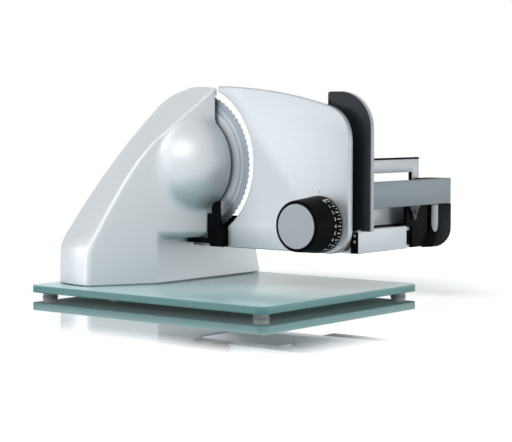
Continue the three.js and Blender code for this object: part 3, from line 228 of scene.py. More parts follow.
def ground_blade():
    """Stainless blade steel, ground on a turntable: fine rings, and a duller ground band outside."""
    material, tree, place = new_material("ground_stainless_blade_steel")
    centred = add_node(tree, "ShaderNodeVectorMath", {0: place, 1: BLADE_CENTRE}, operation="SUBTRACT")
    flat = add_node(tree, "ShaderNodeVectorMath", {0: centred, 1: (1, 0, 1)}, operation="MULTIPLY")
    radius = add_node(tree, "ShaderNodeVectorMath", {0: flat}, operation="LENGTH").outputs["Value"]
    # Real grinding rings are some 0.1 mm apart, drawn here at 0.8 mm so that they show
    ring = add_node(tree, "ShaderNodeTexNoise", {
        "W": radius,
        "Scale": 1 / (0.8 * MM),
        "Detail": 3,
    }, noise_dimensions="1D")
    band = add_node(tree, "ShaderNodeMapRange", {
        "Value": radius,
        "From Min": BLADE_BAND * MM,
        "From Max": (BLADE_BAND + 0.6) * MM,
    })
    body = add_node(tree, "ShaderNodeMix", {
        "Factor": ring,
        "A": linear("A6ADB2"),
        "B": linear("B2B9BD"),
    }, data_type="RGBA")
    colour = add_node(tree, "ShaderNodeMix", {
        "Factor": band,
        "A": body,
        "B": linear("89929A"),
    }, data_type="RGBA")
    shader = add_node(tree, "ShaderNodeBsdfPrincipled", {
        "Base Color": colour,
        "Metallic": 0.8,
        "Roughness": add_node(tree, "ShaderNodeMapRange", {"Value": ring, "To Min": 0.42, "To Max": 0.5}),
        "Normal": add_node(tree, "ShaderNodeBump", {
            "Height": ring,
            "Distance": 0.02 * MM,
            "Strength": 0.08,
        }),
    })
    add_node(tree, "ShaderNodeOutputMaterial", {"Surface": shader})
    return material


def satin_glass():
    """Toughened float glass, etched satin: petrol green through its cut edges, paler from above."""
    material, tree, place = new_material("satin_etched_float_glass")
    normal = add_node(tree, "ShaderNodeNewGeometry", {}).outputs["Normal"]
    upward = add_node(tree, "ShaderNodeSeparateXYZ", {"Vector": normal}).outputs["Z"]
    depth = add_node(tree, "ShaderNodeTexNoise", {"Vector": place, "Scale": 1 / (90 * MM), "Detail": 1})
    face = add_node(tree, "ShaderNodeMix", {
        "Factor": depth,
        "A": linear("B4D6D7"),
        "B": linear("BEDDDE"),
    }, data_type="RGBA")
    colour = add_node(tree, "ShaderNodeMix", {
        "Factor": add_node(tree, "ShaderNodeMapRange", {"Value": upward}),
        "A": linear("578887"),
        "B": face,
    }, data_type="RGBA")
    # The underside is frosted, the top and edges are smoother
    frost = add_node(tree, "ShaderNodeMapRange", {
        "Value": upward,
        "From Min": -0.8,
        "From Max": -0.2,
        "To Min": 0.8,
        "To Max": add_node(tree, "ShaderNodeMapRange", {"Value": depth, "To Min": 0.16, "To Max": 0.22}),
    })
    shader = add_node(tree, "ShaderNodeBsdfPrincipled", {
        "Base Color": colour,
        "Roughness": frost,
        "IOR": 1.52,
        "Specular IOR Level": 0.22,
    })
    add_node(tree, "ShaderNodeOutputMaterial", {"Surface": shader})
    return material


CASTING = lacquered_casting()
SATIN = satin_plate("satin_anodised_aluminium", "ABB1B6", "BBC1C5", 0.6, (30, 0.6, 0.6))
FENCE = satin_plate("matt_anodised_aluminium", "B8BEC2", "C4C9CD", 0.25, (0.6, 30, 0.6))
CAP = blasted_cap()
BLADE = ground_blade()
STRIP = brushed_strip()
STEEL = plated_steel("zinc_plated_steel", "A4A8AA", "C0C3C4")
DARK_STEEL = plated_steel("black_oxide_steel", "16191B", "23272A")
GLASS = satin_glass()
BLACK = moulded_plastic("black_grained_abs", "07090B", "0C0F12", (0.34, 0.44), 0.02)
SLATE = moulded_plastic("slate_grained_abs", "131A20", "1B242B", (0.28, 0.36), 0.25)
# Paler grey plastic that paints the light falling on the thumb guard's side face
SIDE_LIGHT_GREY = moulded_plastic("grey_abs_painted_side_light", "9DA3A9", "A8AEB3", (0.3, 0.4))
ACETAL = moulded_plastic("natural_acetal", "CFC9B8", "DDD8C9", (0.36, 0.46))
# Rubber and print have the same fine grain, and are duller
RUBBER = moulded_plastic("grey_moulded_rubber", "8E9196", "999CA1", (0.6, 0.75))
INK = moulded_plastic("white_pad_print", "D5DADB", "E6EAEA", (0.5, 0.6))
MARK = moulded_plastic("grey_pad_print", "4A5156", "5A6166", (0.5, 0.6))
BRONZE = sintered_bronze()

SLOT_FINISH = {
    "cast_aluminium": CASTING,
    "satin_aluminium": SATIN,
    "steel": STEEL,
    "blade_steel": BLADE,
    "glass": GLASS,
    "black_plastic": BLACK,
    "slate_plastic": SLATE,
    "rubber": RUBBER,
    "gear_plastic": ACETAL,
    "bronze": BRONZE,
}
SLOT_OF = {part["node"]: part["material_slot"] for part in frame["record"]["subparts"]}
BODY_OF = {
    node: body for body, nodes in frame["record"]["behaviour"]["bodies"].items() for node in nodes
}
for name, node in frame["nodes"].items():
    node.data.materials.clear()
    node.data.materials.append(SLOT_FINISH[SLOT_OF[name]])
frame["nodes"]["lever_pin"].data.materials[0] = DARK_STEEL


# Modelling by hand, in edit mode

def mode(name):
    bpy.ops.object.mode_set(mode=name)


def added(primitive, **settings):
    """A new primitive at the origin, the only piece selected."""
    bpy.ops.object.select_all(action="DESELECT")
    primitive(location=(0, 0, 0), **settings)
    return bpy.context.object


def take(piece, *others):
    """Only these pieces are selected, the first one active."""
    bpy.ops.object.select_all(action="DESELECT")
    for chosen in (piece, *others):
        chosen.select_set(True)
    bpy.context.view_layer.objects.active = piece


def join(pieces):
    """Several pieces made one mesh, in the first of them."""
    take(*pieces)
    bpy.ops.object.join()
    return pieces[0]


def copied(piece, shift=(0, 0, 0)):
    """A copy of a piece with its own mesh, moved by a shift."""
    take(piece)
    bpy.ops.object.duplicate()
    bpy.ops.transform.translate(value=shift)
    bpy.ops.object.transform_apply()
    return bpy.context.object


def pick(piece, wanted):
    """Edit mode, with the vertices selected whose place in millimetres is wanted."""
    take(piece)
    mode("EDIT")
    bpy.ops.mesh.select_mode(type="VERT")
    bpy.ops.mesh.select_all(action="DESELECT")
    mode("OBJECT")
    for vertex in piece.data.vertices:
        vertex.select = wanted((vertex.co - BLADE_CENTRE) / MM)
    mode("EDIT")


def chain(places):
    """A new piece: a row of points, each extruded from the one before. Ends in edit mode."""
    piece = added(bpy.ops.mesh.primitive_plane_add, size=MM)
    mode("EDIT")
    bpy.ops.mesh.merge(type="CENTER")
    bpy.ops.transform.translate(value=places[0])
    for before, after in zip(places, places[1:]):
        bpy.ops.mesh.extrude_vertices_move(TRANSFORM_OT_translate={"value": after - before})
    bpy.ops.mesh.select_all(action="SELECT")
    return piece


def loop(places):
    """A closed row of points. Ends in edit mode with all of it selected."""
    piece = chain([*places, places[0]])
    bpy.ops.mesh.remove_doubles(threshold=0.001 * MM)
    return piece


def slab(places, thickness):
    """A flat outline, filled and drawn out by the vector thickness."""
    piece = loop(places)
    bpy.ops.mesh.edge_face_add()
    bpy.ops.mesh.extrude_region_move(TRANSFORM_OT_translate={"value": thickness})
    bpy.ops.mesh.select_all(action="SELECT")
    bpy.ops.mesh.normals_make_consistent(inside=False)
    mode("OBJECT")
    return piece


def sheet(outline, axis, start, end):
    """A flat outline drawn out along an axis. Its points give the other two coordinates in order."""
    along = list(axis).index(1)
    places = [point(*pair[:along], start, *pair[along:]) for pair in outline]
    return slab(places, axis * (end - start) * MM)


def turned(profile, centre, axis, steps=96):
    """A profile of [radius, height] pairs spun round an axis through centre."""
    out = Z_AXIS if axis.x else X_AXIS
    piece = chain([centre + (out * radius + axis * height) * MM for radius, height in profile])
    bpy.ops.mesh.spin(steps=steps, angle=math.tau, center=centre, axis=axis)
    bpy.ops.mesh.select_all(action="SELECT")
    bpy.ops.mesh.remove_doubles(threshold=0.002 * MM)
    bpy.ops.mesh.normals_make_consistent(inside=False)
    mode("OBJECT")
    smooth(piece)
    return piece


def smooth(piece, sharper_than=35):
    take(piece)
    bpy.ops.object.shade_smooth_by_angle(angle=math.radians(sharper_than))


def modify(piece, kind, **settings):
    modifier = piece.modifiers.new(kind.title(), kind)
    for name, value in settings.items():
        setattr(modifier, name, value)
    take(piece)
    bpy.ops.object.modifier_apply(modifier=modifier.name)


def round_edges(piece, width, segments=3, sharper_than=40):
    """Edges sharper than an angle are rounded over, and the faces shaded smooth between them."""
    modify(
        piece,
        "BEVEL",
        width=width * MM,
        segments=segments,
        limit_method="ANGLE",
        angle_limit=math.radians(sharper_than),
    )
    smooth(piece)


def remesh(piece, step):
    """The skin is made anew of even faces."""
    modify(piece, "REMESH", mode="VOXEL", voxel_size=step * MM)


def soften(piece, times, weight=None):
    """The skin is smoothed a number of times, everywhere or as strongly as a weight says.

    The weight is worked out from each vertex's place in millimetres.
    """
    settings = {}
    if weight:
        group = piece.vertex_groups.new(name=weight.__name__)
        for vertex in piece.data.vertices:
            amount = weight((vertex.co - BLADE_CENTRE) / MM)
            if amount > 0.02:
                group.add([vertex.index], amount, "REPLACE")
        settings["vertex_group"] = group.name
    modify(piece, "SMOOTH", factor=0.5, iterations=times, **settings)


def combine(piece, other, operation):
    """Joins another piece to this one, cuts it out of this one, or keeps what both fill."""
    modify(piece, "BOOLEAN", operation=operation, object=other, solver="MANIFOLD")
    bpy.data.objects.remove(other)


def cut(piece, *cutters):
    for cutter in cutters:
        combine(piece, cutter, "DIFFERENCE")


def copy_of(node):
    """A copy of a node's solid, merged, with the lines across its flat faces taken out."""
    source = frame["nodes"][node]
    piece = bpy.data.objects.new(node, source.data.copy())
    scene.collection.objects.link(piece)
    take(piece)
    mode("EDIT")
    bpy.ops.mesh.select_all(action="SELECT")
    bpy.ops.mesh.remove_doubles(threshold=0.005 * MM)
    bpy.ops.mesh.dissolve_limited(angle_limit=math.radians(1))
    mode("OBJECT")
    return piece


def settle(piece, name, finish, node, instead=True):
    """Names a piece, gives it its finish, and ties it to the body that its node is on."""
    piece.name = name
    piece.data.name = name
    piece.data.materials.clear()
    piece.data.materials.append(finish)
    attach(piece, BODY_OF[node])
    if instead:
        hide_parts(node)


def arc(across, up, radius, start, end, steps):
    """Points of an arc in a plane, angles in degrees."""
    angles = [math.radians(start + (end - start) * i / steps) for i in range(steps + 1)]
    return [(across + radius * math.cos(a), up + radius * math.sin(a)) for a in angles]


def curve(start, control, end, steps):
    """Points of a quadratic curve."""
    made = []
    for i in range(steps + 1):
        t = i / steps
        weights = ((1 - t) ** 2, 2 * t * (1 - t), t * t)
        made.append(tuple(
            sum(w * p[axis] for w, p in zip(weights, (start, control, end)))
            for axis in range(len(start))
        ))
    return made


def rounded_rectangle(low, high, corner, steps):
    """Outline of a rectangle between two corners, with its own corners rounded."""
    outline = []
    for quarter, (across, up) in enumerate((
        (high[0] - corner, high[1] - corner),
        (low[0] + corner, high[1] - corner),
        (low[0] + corner, low[1] + corner),
        (high[0] - corner, low[1] + corner),
    )):
        outline += arc(across, up, corner, 90 * quarter, 90 * (quarter + 1), steps)
    return outline


def box_piece(low, high):
    """A block between two corners."""
    piece = added(bpy.ops.mesh.primitive_cube_add, size=1)
    mode("EDIT")
    bpy.ops.transform.resize(value=(Vector(high) - Vector(low)) * MM, center_override=(0, 0, 0))
    bpy.ops.transform.translate(value=(point(*low) + point(*high)) / 2)
    mode("OBJECT")
    return piece


def rounded_block(low, high, width, segments):
    """A block between two corners, with its edges rounded."""
    block = box_piece(low, high)
    round_edges(block, width, segments)
    return block


def drill(radius, low, high, place=(0, 0, 0), axis=Y_AXIS, sides=64):
    """A round cutter through a place, from low to high along an axis."""
    place = Vector(place)
    level = place - axis * place.dot(axis)
    profile = [(0, low), (radius, low), (radius, high), (0, high)]
    return turned(profile, point(*level), axis, sides)


# Tower: loops from tip to foot, bridged, joined with the dome and the foot, then softened

SEAT = 0.3  # room between pieces that sit in each other
FACE_ANGLE = math.radians(29.2)
FACE_OUT = Vector((math.cos(FACE_ANGLE), -math.sin(FACE_ANGLE), 0))
EDGE_X = 36.5
FACE_DEPTH = EDGE_X * math.cos(FACE_ANGLE)  # from the dome's middle out to the main face
FOOD_FACE = -3
RECESS_FLOOR = -5
SPARE = 9  # the loops run past the flat faces, which are cut last to stay crisp
TOWER_LOW, TOWER_HIGH = extent("tower_housing")
TOWER_BOTTOM = TOWER_LOW.z
TOWER_BACK = -104
FOOT_FRONT = 2
FOOT_TOP = extent("guide_arm")[0].z - SEAT
FOOT_LEAN = 11
OVERHANG_Z = -86
OVERHANG_ROUND = 9
DOME_RADIUS = 60.5
DOME_FILLET = 10
DOME_BITE = 12  # how far the dome's skirt reaches into the tower
JOINT_SPREAD = 20  # how far the softening reaches from the dome's joint
BAND_CROWN = 0.07  # how far the band beside the main face swells, as a share of its width
CROWN_PLACE = 0.55  # where it swells most, as a share from the shoulder to the crease
BLADE_RADIUS = (blade_high.x - blade_low.x) / 2 / MM
RECESS_RADIUS = BLADE_RADIUS + 3
SKIN_STEP = 1.3  # size of the faces that the softened casting is made of
FAR = 300  # longer than any piece, for cutters
FOOT_REAR = -20  # inside the tower, where the foot starts
SWITCH_HOLE = 9.65
INLET_HOLE = 8.3
SCREWS = ["base_screw_1", "base_screw_2", "base_screw_3", "base_screw_4"]
SCREW_HOLE = 2.8


def on_face(run, z):
    """A place on the tower's slanted main face, run from its front edge."""
    across = EDGE_X - run * math.sin(FACE_ANGLE)
    return Vector((across, RECESS_FLOOR - run * math.cos(FACE_ANGLE), z))


def rounded(corners, lengths, steps):
    """A loop through corners, each rounded over its own length, or over less than half a short side."""
    made = []
    for i, corner in enumerate(corners):
        ends = []
        for other in (corners[i - 1], corners[(i + 1) % len(corners)]):
            away = other - corner
            ends.append(corner + away.normalized() * min(lengths[i], 0.42 * away.length))
        made += curve(ends[0], corner, ends[1], steps)
    return made


# Front edge's height, crease on the main face as run and height, shoulder, ridge as x and height,
# rounding of the crease and of the shoulder
BELOW = TOWER_BOTTOM - SPARE
TOWER_LOOPS = [
    (88.6, (0.5, 87.9), (34.6, -4.2, 88.9), (33, 89.3), 0.8, 1),
    (78, (9, 80.5), (20, -8, 86.3), (14.6, 90.1), 2, 6),
    (66, (24, 68), (2, -15.5, 79.5), (-10, 88), 3, 10),
    (50, (42, 53.5), (-17, -25, 69.5), (-36, 79.2), 3, 14),
    (30, (60, 39), (-37.5, -36, 54.5), (-59.5, 63.3), 3, 20),
    (5, (78.5, 23), (-57, -46.5, 33), (-79, 41), 4, 28),
    (-25, (97.5, 1), (-73.5, -61.5, 6), (-93.5, 14), 5, 30),
    (-55, (119.5, -33), (-89.5, -83, -29), (-101, -22), 5, 30),
    (-80, (140, -69), (-100.5, -107, -66), (-103.5, -60), 5, 26),
    (-96, (152, -93), (TOWER_BACK, -124.5, -92), (TOWER_BACK, -92), 5, 20),
    (-108, (154.5, -106), (TOWER_BACK, -126.5, -106), (TOWER_BACK, -106), 5, 18),
    *((z, (155, z), (TOWER_BACK, -126.5, z), (TOWER_BACK, z), 5, 18) for z in (TOWER_BOTTOM, BELOW)),
]


def tower_body():
    loops = []
    past = (RECESS_FLOOR - FOOD_FACE - SPARE) / math.cos(FACE_ANGLE)
    for front, crease, shoulder, ridge, soft, softer in TOWER_LOOPS:
        shoulder = Vector(shoulder)
        top = Vector((ridge[0], FOOD_FACE, ridge[1])) - shoulder
        band = on_face(*crease) - shoulder
        outward = band.cross(top).cross(band).normalized()
        corners = [
            on_face(past, front),
            shoulder + top * (top.y + SPARE) / top.y,
            shoulder,
            shoulder + band * CROWN_PLACE - outward * BAND_CROWN * band.length,
            on_face(*crease),
        ]
        ring = rounded(corners, [1, 1, softer, FAR, soft], 7)
        loops.append(loop([point(*place) for place in ring]))
        mode("OBJECT")
    body = join(loops)
    mode("EDIT")
    bpy.ops.mesh.select_all(action="SELECT")
    bpy.ops.mesh.bridge_edge_loops(
        type="SINGLE", number_cuts=3, interpolation="SURFACE", smoothness=1
    )
    bpy.ops.mesh.select_all(action="SELECT")
    bpy.ops.mesh.fill_holes(sides=0)
    bpy.ops.mesh.normals_make_consistent(inside=False)
    mode("OBJECT")
    return body


def dome_piece():
    """The dome over the gears, with a fillet where it runs into the slanted main face."""
    lift = FACE_DEPTH + DOME_FILLET
    reach = math.sqrt((DOME_RADIUS + DOME_FILLET) ** 2 - lift ** 2)
    leave = math.degrees(math.atan2(lift, reach))
    profile = [
        *arc(0, 0, DOME_RADIUS, 90, leave, 24),
        *arc(reach, lift, DOME_FILLET, leave + 180, 270, 10),
        (reach - DOME_BITE, FACE_DEPTH - DOME_BITE),
        (0, FACE_DEPTH - DOME_BITE),
    ]
    return turned(profile, point(0, RECESS_FLOOR, 0), FACE_OUT, 128)


def foot_piece():
    foot_end = TOWER_HIGH.y
    outline = [
        (FOOT_REAR, BELOW),
        (foot_end + FOOT_LEAN * SPARE / (FOOT_TOP - TOWER_BOTTOM), BELOW),
        (foot_end - FOOT_LEAN, FOOT_TOP),
        (FOOT_REAR, FOOT_TOP),
    ]
    return sheet(outline, X_AXIS, TOWER_BACK, FOOT_FRONT)


def overhang_waste():
    """What is cut from the overhang's lower edge, so that it turns under in a round."""
    outline = [
        *arc(-OVERHANG_ROUND, OVERHANG_ROUND, OVERHANG_ROUND, -90, 0, 10),
        (SPARE, OVERHANG_ROUND),
        (SPARE, -1),
        (-OVERHANG_ROUND, -1),
    ]
    start = on_face(-FAR / 2, OVERHANG_Z)
    along = on_face(FAR / 2, OVERHANG_Z) - start
    places = [point(*(start + FACE_OUT * across + Z_AXIS * up)) for across, up in outline]
    waste = slab(places, along * MM)
    combine(waste, box_piece((FOOT_FRONT, -FAR, -FAR), (FAR, FAR, FAR)), "INTERSECT")
    return waste


def crease_height(run):
    """How high the crease stands at a run along the main face."""
    creases = [crease for _, crease, *_ in TOWER_LOOPS]
    for (near, high), (far, low) in zip(creases, creases[1:]):
        if run < far:
            return high + (low - high) * (run - near) / (far - near)
    return creases[-1][1]


def ramp(value, start, end):
    """0 up to start, 1 from end on, and even between them."""
    return min(max((value - start) / (end - start), 0), 1)


def dome_joint_weight(place):
    """Grows along the dome's joint with the main face, from none at the front edge to 1 at the back."""
    ring = math.sqrt(DOME_RADIUS ** 2 - FACE_DEPTH ** 2)
    off = place - (Vector((0, RECESS_FLOOR, 0)) + FACE_OUT * FACE_DEPTH)
    level = off.dot(FACE_OUT)
    around = (off - FACE_OUT * level).length - ring
    run = (EDGE_X - place.x) * math.sin(FACE_ANGLE) + (RECESS_FLOOR - place.y) * math.cos(FACE_ANGLE)
    below_crease = ramp(crease_height(run) - place.z, 4, 18)
    return ramp(run, 10, 50) * below_crease * math.exp(-(level ** 2 + around ** 2) / JOINT_SPREAD ** 2)


def back_weight(place):
    """1 on the tower's back above the foot, which is one long smooth sweep."""
    return ramp(-place.x, 50, 70) * ramp(place.z - OVERHANG_Z, 0, 12)


def lip_weight(place):
    """1 where the overhang's round ends beside the foot, so that it runs out softly."""
    if place.y > -8:
        return 0
    return math.exp(-((place.z - OVERHANG_Z - 3) / 9) ** 2 - ((place.x - FOOT_FRONT - 2) / 9) ** 2)


def screw_hole(node):
    return drill(SCREW_HOLE, -FAR, extent(node)[1].z + SEAT, middle(node), Z_AXIS, 24)


def tower_bays():
    """Cutters for the blade's recess and for what sits inside the casting, each open one way."""
    bearing_low, bearing_high = extent("shaft_bearing_inner")
    bays = [
        drill(RECESS_RADIUS, RECESS_FLOOR, FAR, sides=128),
        drill(extent("gear_cover")[1].x + SEAT, bearing_high.y + SEAT, FAR, sides=96),
        drill(bearing_high.x + SEAT, bearing_low.y - SEAT, FAR),
    ]
    for node in ("motor_bracket", "worm_bush"):
        low, high = extent(node)
        bays.append(drill((high.x - low.x) / 2 + SEAT, -FAR, high.z + SEAT, middle(node), Z_AXIS))
    for node, radius, beyond in (("switch_bezel", SWITCH_HOLE, 4), ("cord_inlet", INLET_HOLE, SEAT)):
        bays.append(drill(radius, -FAR, extent(node)[1].x + beyond, middle(node), X_AXIS))
    return bays + [screw_hole(node) for node in SCREWS]


def tower_piece():
    tower = join([tower_body(), dome_piece(), foot_piece()])
    remesh(tower, SKIN_STEP)
    cut(tower, box_piece((FOOT_FRONT, -FAR, -FAR), (FAR, FAR, OVERHANG_Z)), overhang_waste())
    remesh(tower, SKIN_STEP)
    soften(tower, 6)
    soften(tower, 150, dome_joint_weight)
    soften(tower, 40, back_weight)
    soften(tower, 8, lip_weight)
    cut(
        tower,
        box_piece((-FAR, -FAR, -FAR), (FAR, FAR, TOWER_BOTTOM)),
        box_piece((-FAR, FOOD_FACE, FOOT_TOP - 0.05), (FAR, FAR, FAR)),
        *tower_bays(),
    )
    smooth(tower, 30)
    settle(tower, "tower_casting", CASTING, "tower_housing")


# Pieces that keep the form of their solid, with its edges rounded

def rounded_copies():
    for node, name, finish, width, segments in (
        ("guide_arm", "guide_arm_profile", CASTING, 0.7, 3),
        ("rod_holder_back", "rod_holder_back_moulding", BLACK, 0.5, 2),
        ("rod_holder_front", "rod_holder_front_moulding", BLACK, 0.5, 2),
        ("shoe_rear", "shoe_rear_moulding", ACETAL, 0.5, 2),
        ("shoe_front", "shoe_front_moulding", ACETAL, 0.5, 2),
        ("carriage_table", "carriage_table_sheet", SATIN, 0.6, 3),
        ("carriage_bracket", "carriage_bracket_moulding", BLACK, 0.8, 3),
    ):
        piece = copy_of(node)
        round_edges(piece, width, segments)
        settle(piece, name, finish, node)


# Base

def glass_plate():
    low, high = extent("glass_base_plate")
    corner = 10
    plate = sheet(rounded_rectangle(low, high, corner, 14), Z_AXIS, low.z, high.z)
    round_edges(plate, 0.7, 3, 60)
    cut(plate, *[screw_hole(node) for node in SCREWS])
    smooth(plate)
    settle(plate, "glass_plate", GLASS, "glass_base_plate")


def rubber_feet():
    first = "foot_front_left"
    low, high = extent(first)
    radius, top, waist = (high.x - low.x) / 2, high.z - low.z, 7
    profile = [
        (0, 0),
        *curve((radius - 1.2, 0), (radius, 0), (radius, 1.2), 5),
        *curve((radius, 1.2), (waist, top / 2), (radius, top - 0.9), 8),
        (radius, top),
        (0, top),
    ]
    centre = middle(first)
    foot = turned(profile, point(centre.x, centre.y, low.z), Z_AXIS, 48)
    for node in ("foot_front_right", "foot_back_left", "foot_back_right"):
        other = copied(foot, (extent(node)[0] - low) * MM)
        settle(other, node + "_rubber", RUBBER, node)
    settle(foot, first + "_rubber", RUBBER, first)


# Blade, its lock and the guard under its edge

BLADE_TEETH = 76
BLADE_BORE = 12.5
TOOTH_STEPS = 6  # points along each tooth
# How far the points of a tooth lie inside its tips, by their step from the tip
TOOTH_HOLLOW = {1: 1, 2: 1.55, 3: 1.7}


def blade_piece():
    half = (blade_high.y - blade_low.y) / 2 / MM
    edge = 0.25
    groove = 70
    profile = [
        (BLADE_BORE, -half),
        (groove - 0.5, -half),
        (groove, 0.15 - half),
        (groove + 0.5, -half),
        (BLADE_BAND, -half),
        (BLADE_RADIUS, -edge),
        (BLADE_RADIUS, edge),
        (BLADE_BAND, half),
        (BLADE_BORE, half),
        (BLADE_BORE, -half),
    ]
    steps = BLADE_TEETH * TOOTH_STEPS
    blade = turned(profile, BLADE_CENTRE, Y_AXIS, steps)

    def step_from_tip(place):
        step = round(math.atan2(place.z, place.x) / math.tau * steps) % TOOTH_STEPS
        return min(step, TOOTH_STEPS - step)

    for step, hollow in TOOTH_HOLLOW.items():
        share = (BLADE_RADIUS - hollow) / BLADE_RADIUS
        pick(blade, lambda p: Vector((p.x, p.z)).length > BLADE_RADIUS - 0.3 and step_from_tip(p) == step)
        bpy.ops.transform.resize(value=(share, 1, share), center_override=BLADE_CENTRE)
        mode("OBJECT")
    smooth(blade, 20)
    settle(blade, "toothed_blade", BLADE, "blade")


def lock_cap():
    low, high = extent("blade_lock")
    radius, dish = high.x, high.y - low.y - 4
    profile = [
        (0, 0),
        (radius - 0.8, 0),
        (radius, 0.8),
        *curve((radius, 2), (radius - 0.6, dish), (radius - 5, dish), 6),
        (0, dish),
    ]
    cap = turned(profile, point(0, low.y, 0), Y_AXIS)
    half, reach, sunk = 2.5, radius - 6.5, 3
    outline = arc(reach, 0, half, -90, 90, 8) + arc(-reach, 0, half, 90, 270, 8)
    combine(cap, sheet(outline, Y_AXIS, low.y + sunk, high.y), "UNION")
    # Room for the shaft's end
    cut(cap, drill(6.35, -FAR, 4.85))
    round_edges(cap, 0.6)
    settle(cap, "blade_lock_cap", BLACK, "blade_lock")


def edge_guard():
    guard = copy_of("blade_edge_guard")
    front = extent("blade_edge_guard")[0].y
    thin, root, step, top = 2.6, -74, -57.3, -42.5
    left, right, crown = 40.1, 53, 49.6
    # The finger beside the blade is made anew, thin and with a round shoulder
    cut(
        guard,
        box_piece((0, -FAR, step), (FAR, FOOD_FACE + 2, FAR)),
        box_piece((0, front + thin, root + 3.5), (FAR, FOOD_FACE + 2, FAR)),
    )
    outline = [
        (left, root),
        *curve((left, step + 5), (left + 1.5, top - 1), (crown, top), 10),
        (right, top),
        (right, step),
        (right + 1.2, root),
    ]
    guard = join([guard, sheet(outline, Y_AXIS, front, front + thin)])
    remesh(guard, 0.5)
    soften(guard, 8)
    smooth(guard)
    settle(guard, "blade_edge_guard_moulding", BLACK, "blade_edge_guard")


# Stop plate, its knob and the dial's print

STOP_FRONT = extent("stop_plate")[0].y
KNOB_X, KNOB_Z = 190, -64.5
KNOB_RADIUS, KNOB_NOSE, KNOB_LENGTH = 32, 28.5, 43
KNOB_REAR = extent("knob")[1].y
REAR_ROUND, NOSE_ROUND = 1, 3.5


def stop_plate():
    low, high = extent("stop_plate")
    left, arc_x, arc_z, radius, tip = 58, 5, 2, 91, math.degrees(1.13)
    foot_corner = 27
    tip_x = low.x
    shoulder = (high.x - 35, high.z - 21.8)
    side_top = (high.x, shoulder[1] - 42)
    outline = [
        (left, low.z),
        *arc(high.x - foot_corner, low.z + foot_corner, foot_corner, -90, 0, 16),
        *curve(side_top, (high.x, shoulder[1] - 8), shoulder, 16),
        *curve(shoulder, ((shoulder[0] + tip_x) / 2 + 7, high.z - 2.6), (tip_x, high.z), 16),
        *arc(arc_x, arc_z, radius, tip, -math.degrees(math.acos((left - arc_x) / radius)), 48),
    ]
    plate = sheet(outline, Y_AXIS, low.y, high.y)
    round_edges(plate, 1.3, 4)
    pocket_low, pocket_high = extent("stop_plate_cover")
    room = (pocket_high.x - pocket_low.x) / 2 + SEAT
    pocket = [
        *arc(KNOB_X, KNOB_Z, room, 0, 180, 20),
        *arc(KNOB_X, pocket_low.z - SEAT + room, room, 180, 360, 20),
    ]
    pocket_floor, spindle_hole, pin_hole, pin_floor = -5.2, 5.35, 4.3, -4.8
    cut(
        plate,
        sheet(pocket, Y_AXIS, pocket_floor, pocket_floor + 20),
        drill(spindle_hole, -FAR, FAR, (KNOB_X, 0, KNOB_Z)),
        *[drill(pin_hole, pin_floor, FAR, middle(node)) for node in ("guide_pin_1", "guide_pin_2")],
    )
    smooth(plate)
    settle(plate, "stop_plate_sheet", SATIN, "stop_plate")
    # Fine line that the dial is read against
    line_low = (KNOB_X - 0.35, STOP_FRONT - 0.08, -29.6)
    line_high = (KNOB_X + 0.35, STOP_FRONT + 0.2, -26.8)
    index_line = rounded_block(line_low, line_high, 0.05, 2)
    settle(index_line, "dial_index_line", MARK, "stop_plate", instead=False)


def skirt(height):
    """The knob's radius at a height from its rear."""
    share = (height - REAR_ROUND) / (KNOB_LENGTH - REAR_ROUND - NOSE_ROUND)
    return KNOB_RADIUS - (KNOB_RADIUS - KNOB_NOSE) * share


def dial_number(text, size):
    """A flat number at the origin."""
    number = added(bpy.ops.object.text_add, radius=size * MM)
    number.data.body = text
    number.data.align_x = "CENTER"
    number.data.align_y = "CENTER"
    number.data.resolution_u = 3
    bpy.ops.object.convert(target="MESH")
    return bpy.context.object


def dial_stroke(length, width):
    """A flat stroke at the origin."""
    stroke = added(bpy.ops.mesh.primitive_grid_add, x_subdivisions=2, y_subdivisions=2, size=1)
    mode("EDIT")
    bpy.ops.transform.resize(value=(length * MM, width * MM, 1), center_override=(0, 0, 0))
    mode("OBJECT")
    return stroke


def on_skirt(flat, angle, height):
    """A flat mark stood on the knob's skirt, its top turned the way the angle grows."""
    a = math.radians(angle)
    radial = Vector((math.cos(a), 0, math.sin(a)))
    along = Vector((-math.sin(a), 0, math.cos(a)))
    turn = Matrix((Y_AXIS, along, radial)).transposed().to_4x4()
    place = point(KNOB_X, KNOB_REAR - height, KNOB_Z) + radial * (skirt(height) + 0.2) * MM
    flat.matrix_world = Matrix.Translation(place) @ turn
    take(flat)
    bpy.ops.object.transform_apply()
    return flat


DIAL_START = 57  # where the zero stands, in degrees from +X towards +Z
DIAL_STEP = 14.4
DIAL_LAST = 20


def dial_marks():
    """Numbers and strokes round the skirt, and a longer stroke beside the zero."""
    long_stroke = dial_stroke(5, 0.9)
    short_stroke = dial_stroke(1.5, 1.1)
    marks = []
    for i in range(DIAL_LAST + 1):
        angle = DIAL_START - DIAL_STEP * i
        marks.append(on_skirt(dial_number(str(i), 5.6), angle, 11.6))
        marks.append(on_skirt(copied(long_stroke), angle, 5))
        if i < DIAL_LAST:
            marks.append(on_skirt(copied(short_stroke), angle - DIAL_STEP / 2, 3.4))
    marks.append(on_skirt(dial_stroke(10, 1.4), DIAL_START + 6, 7.5))
    bpy.data.objects.remove(long_stroke)
    bpy.data.objects.remove(short_stroke)
    return join(marks)


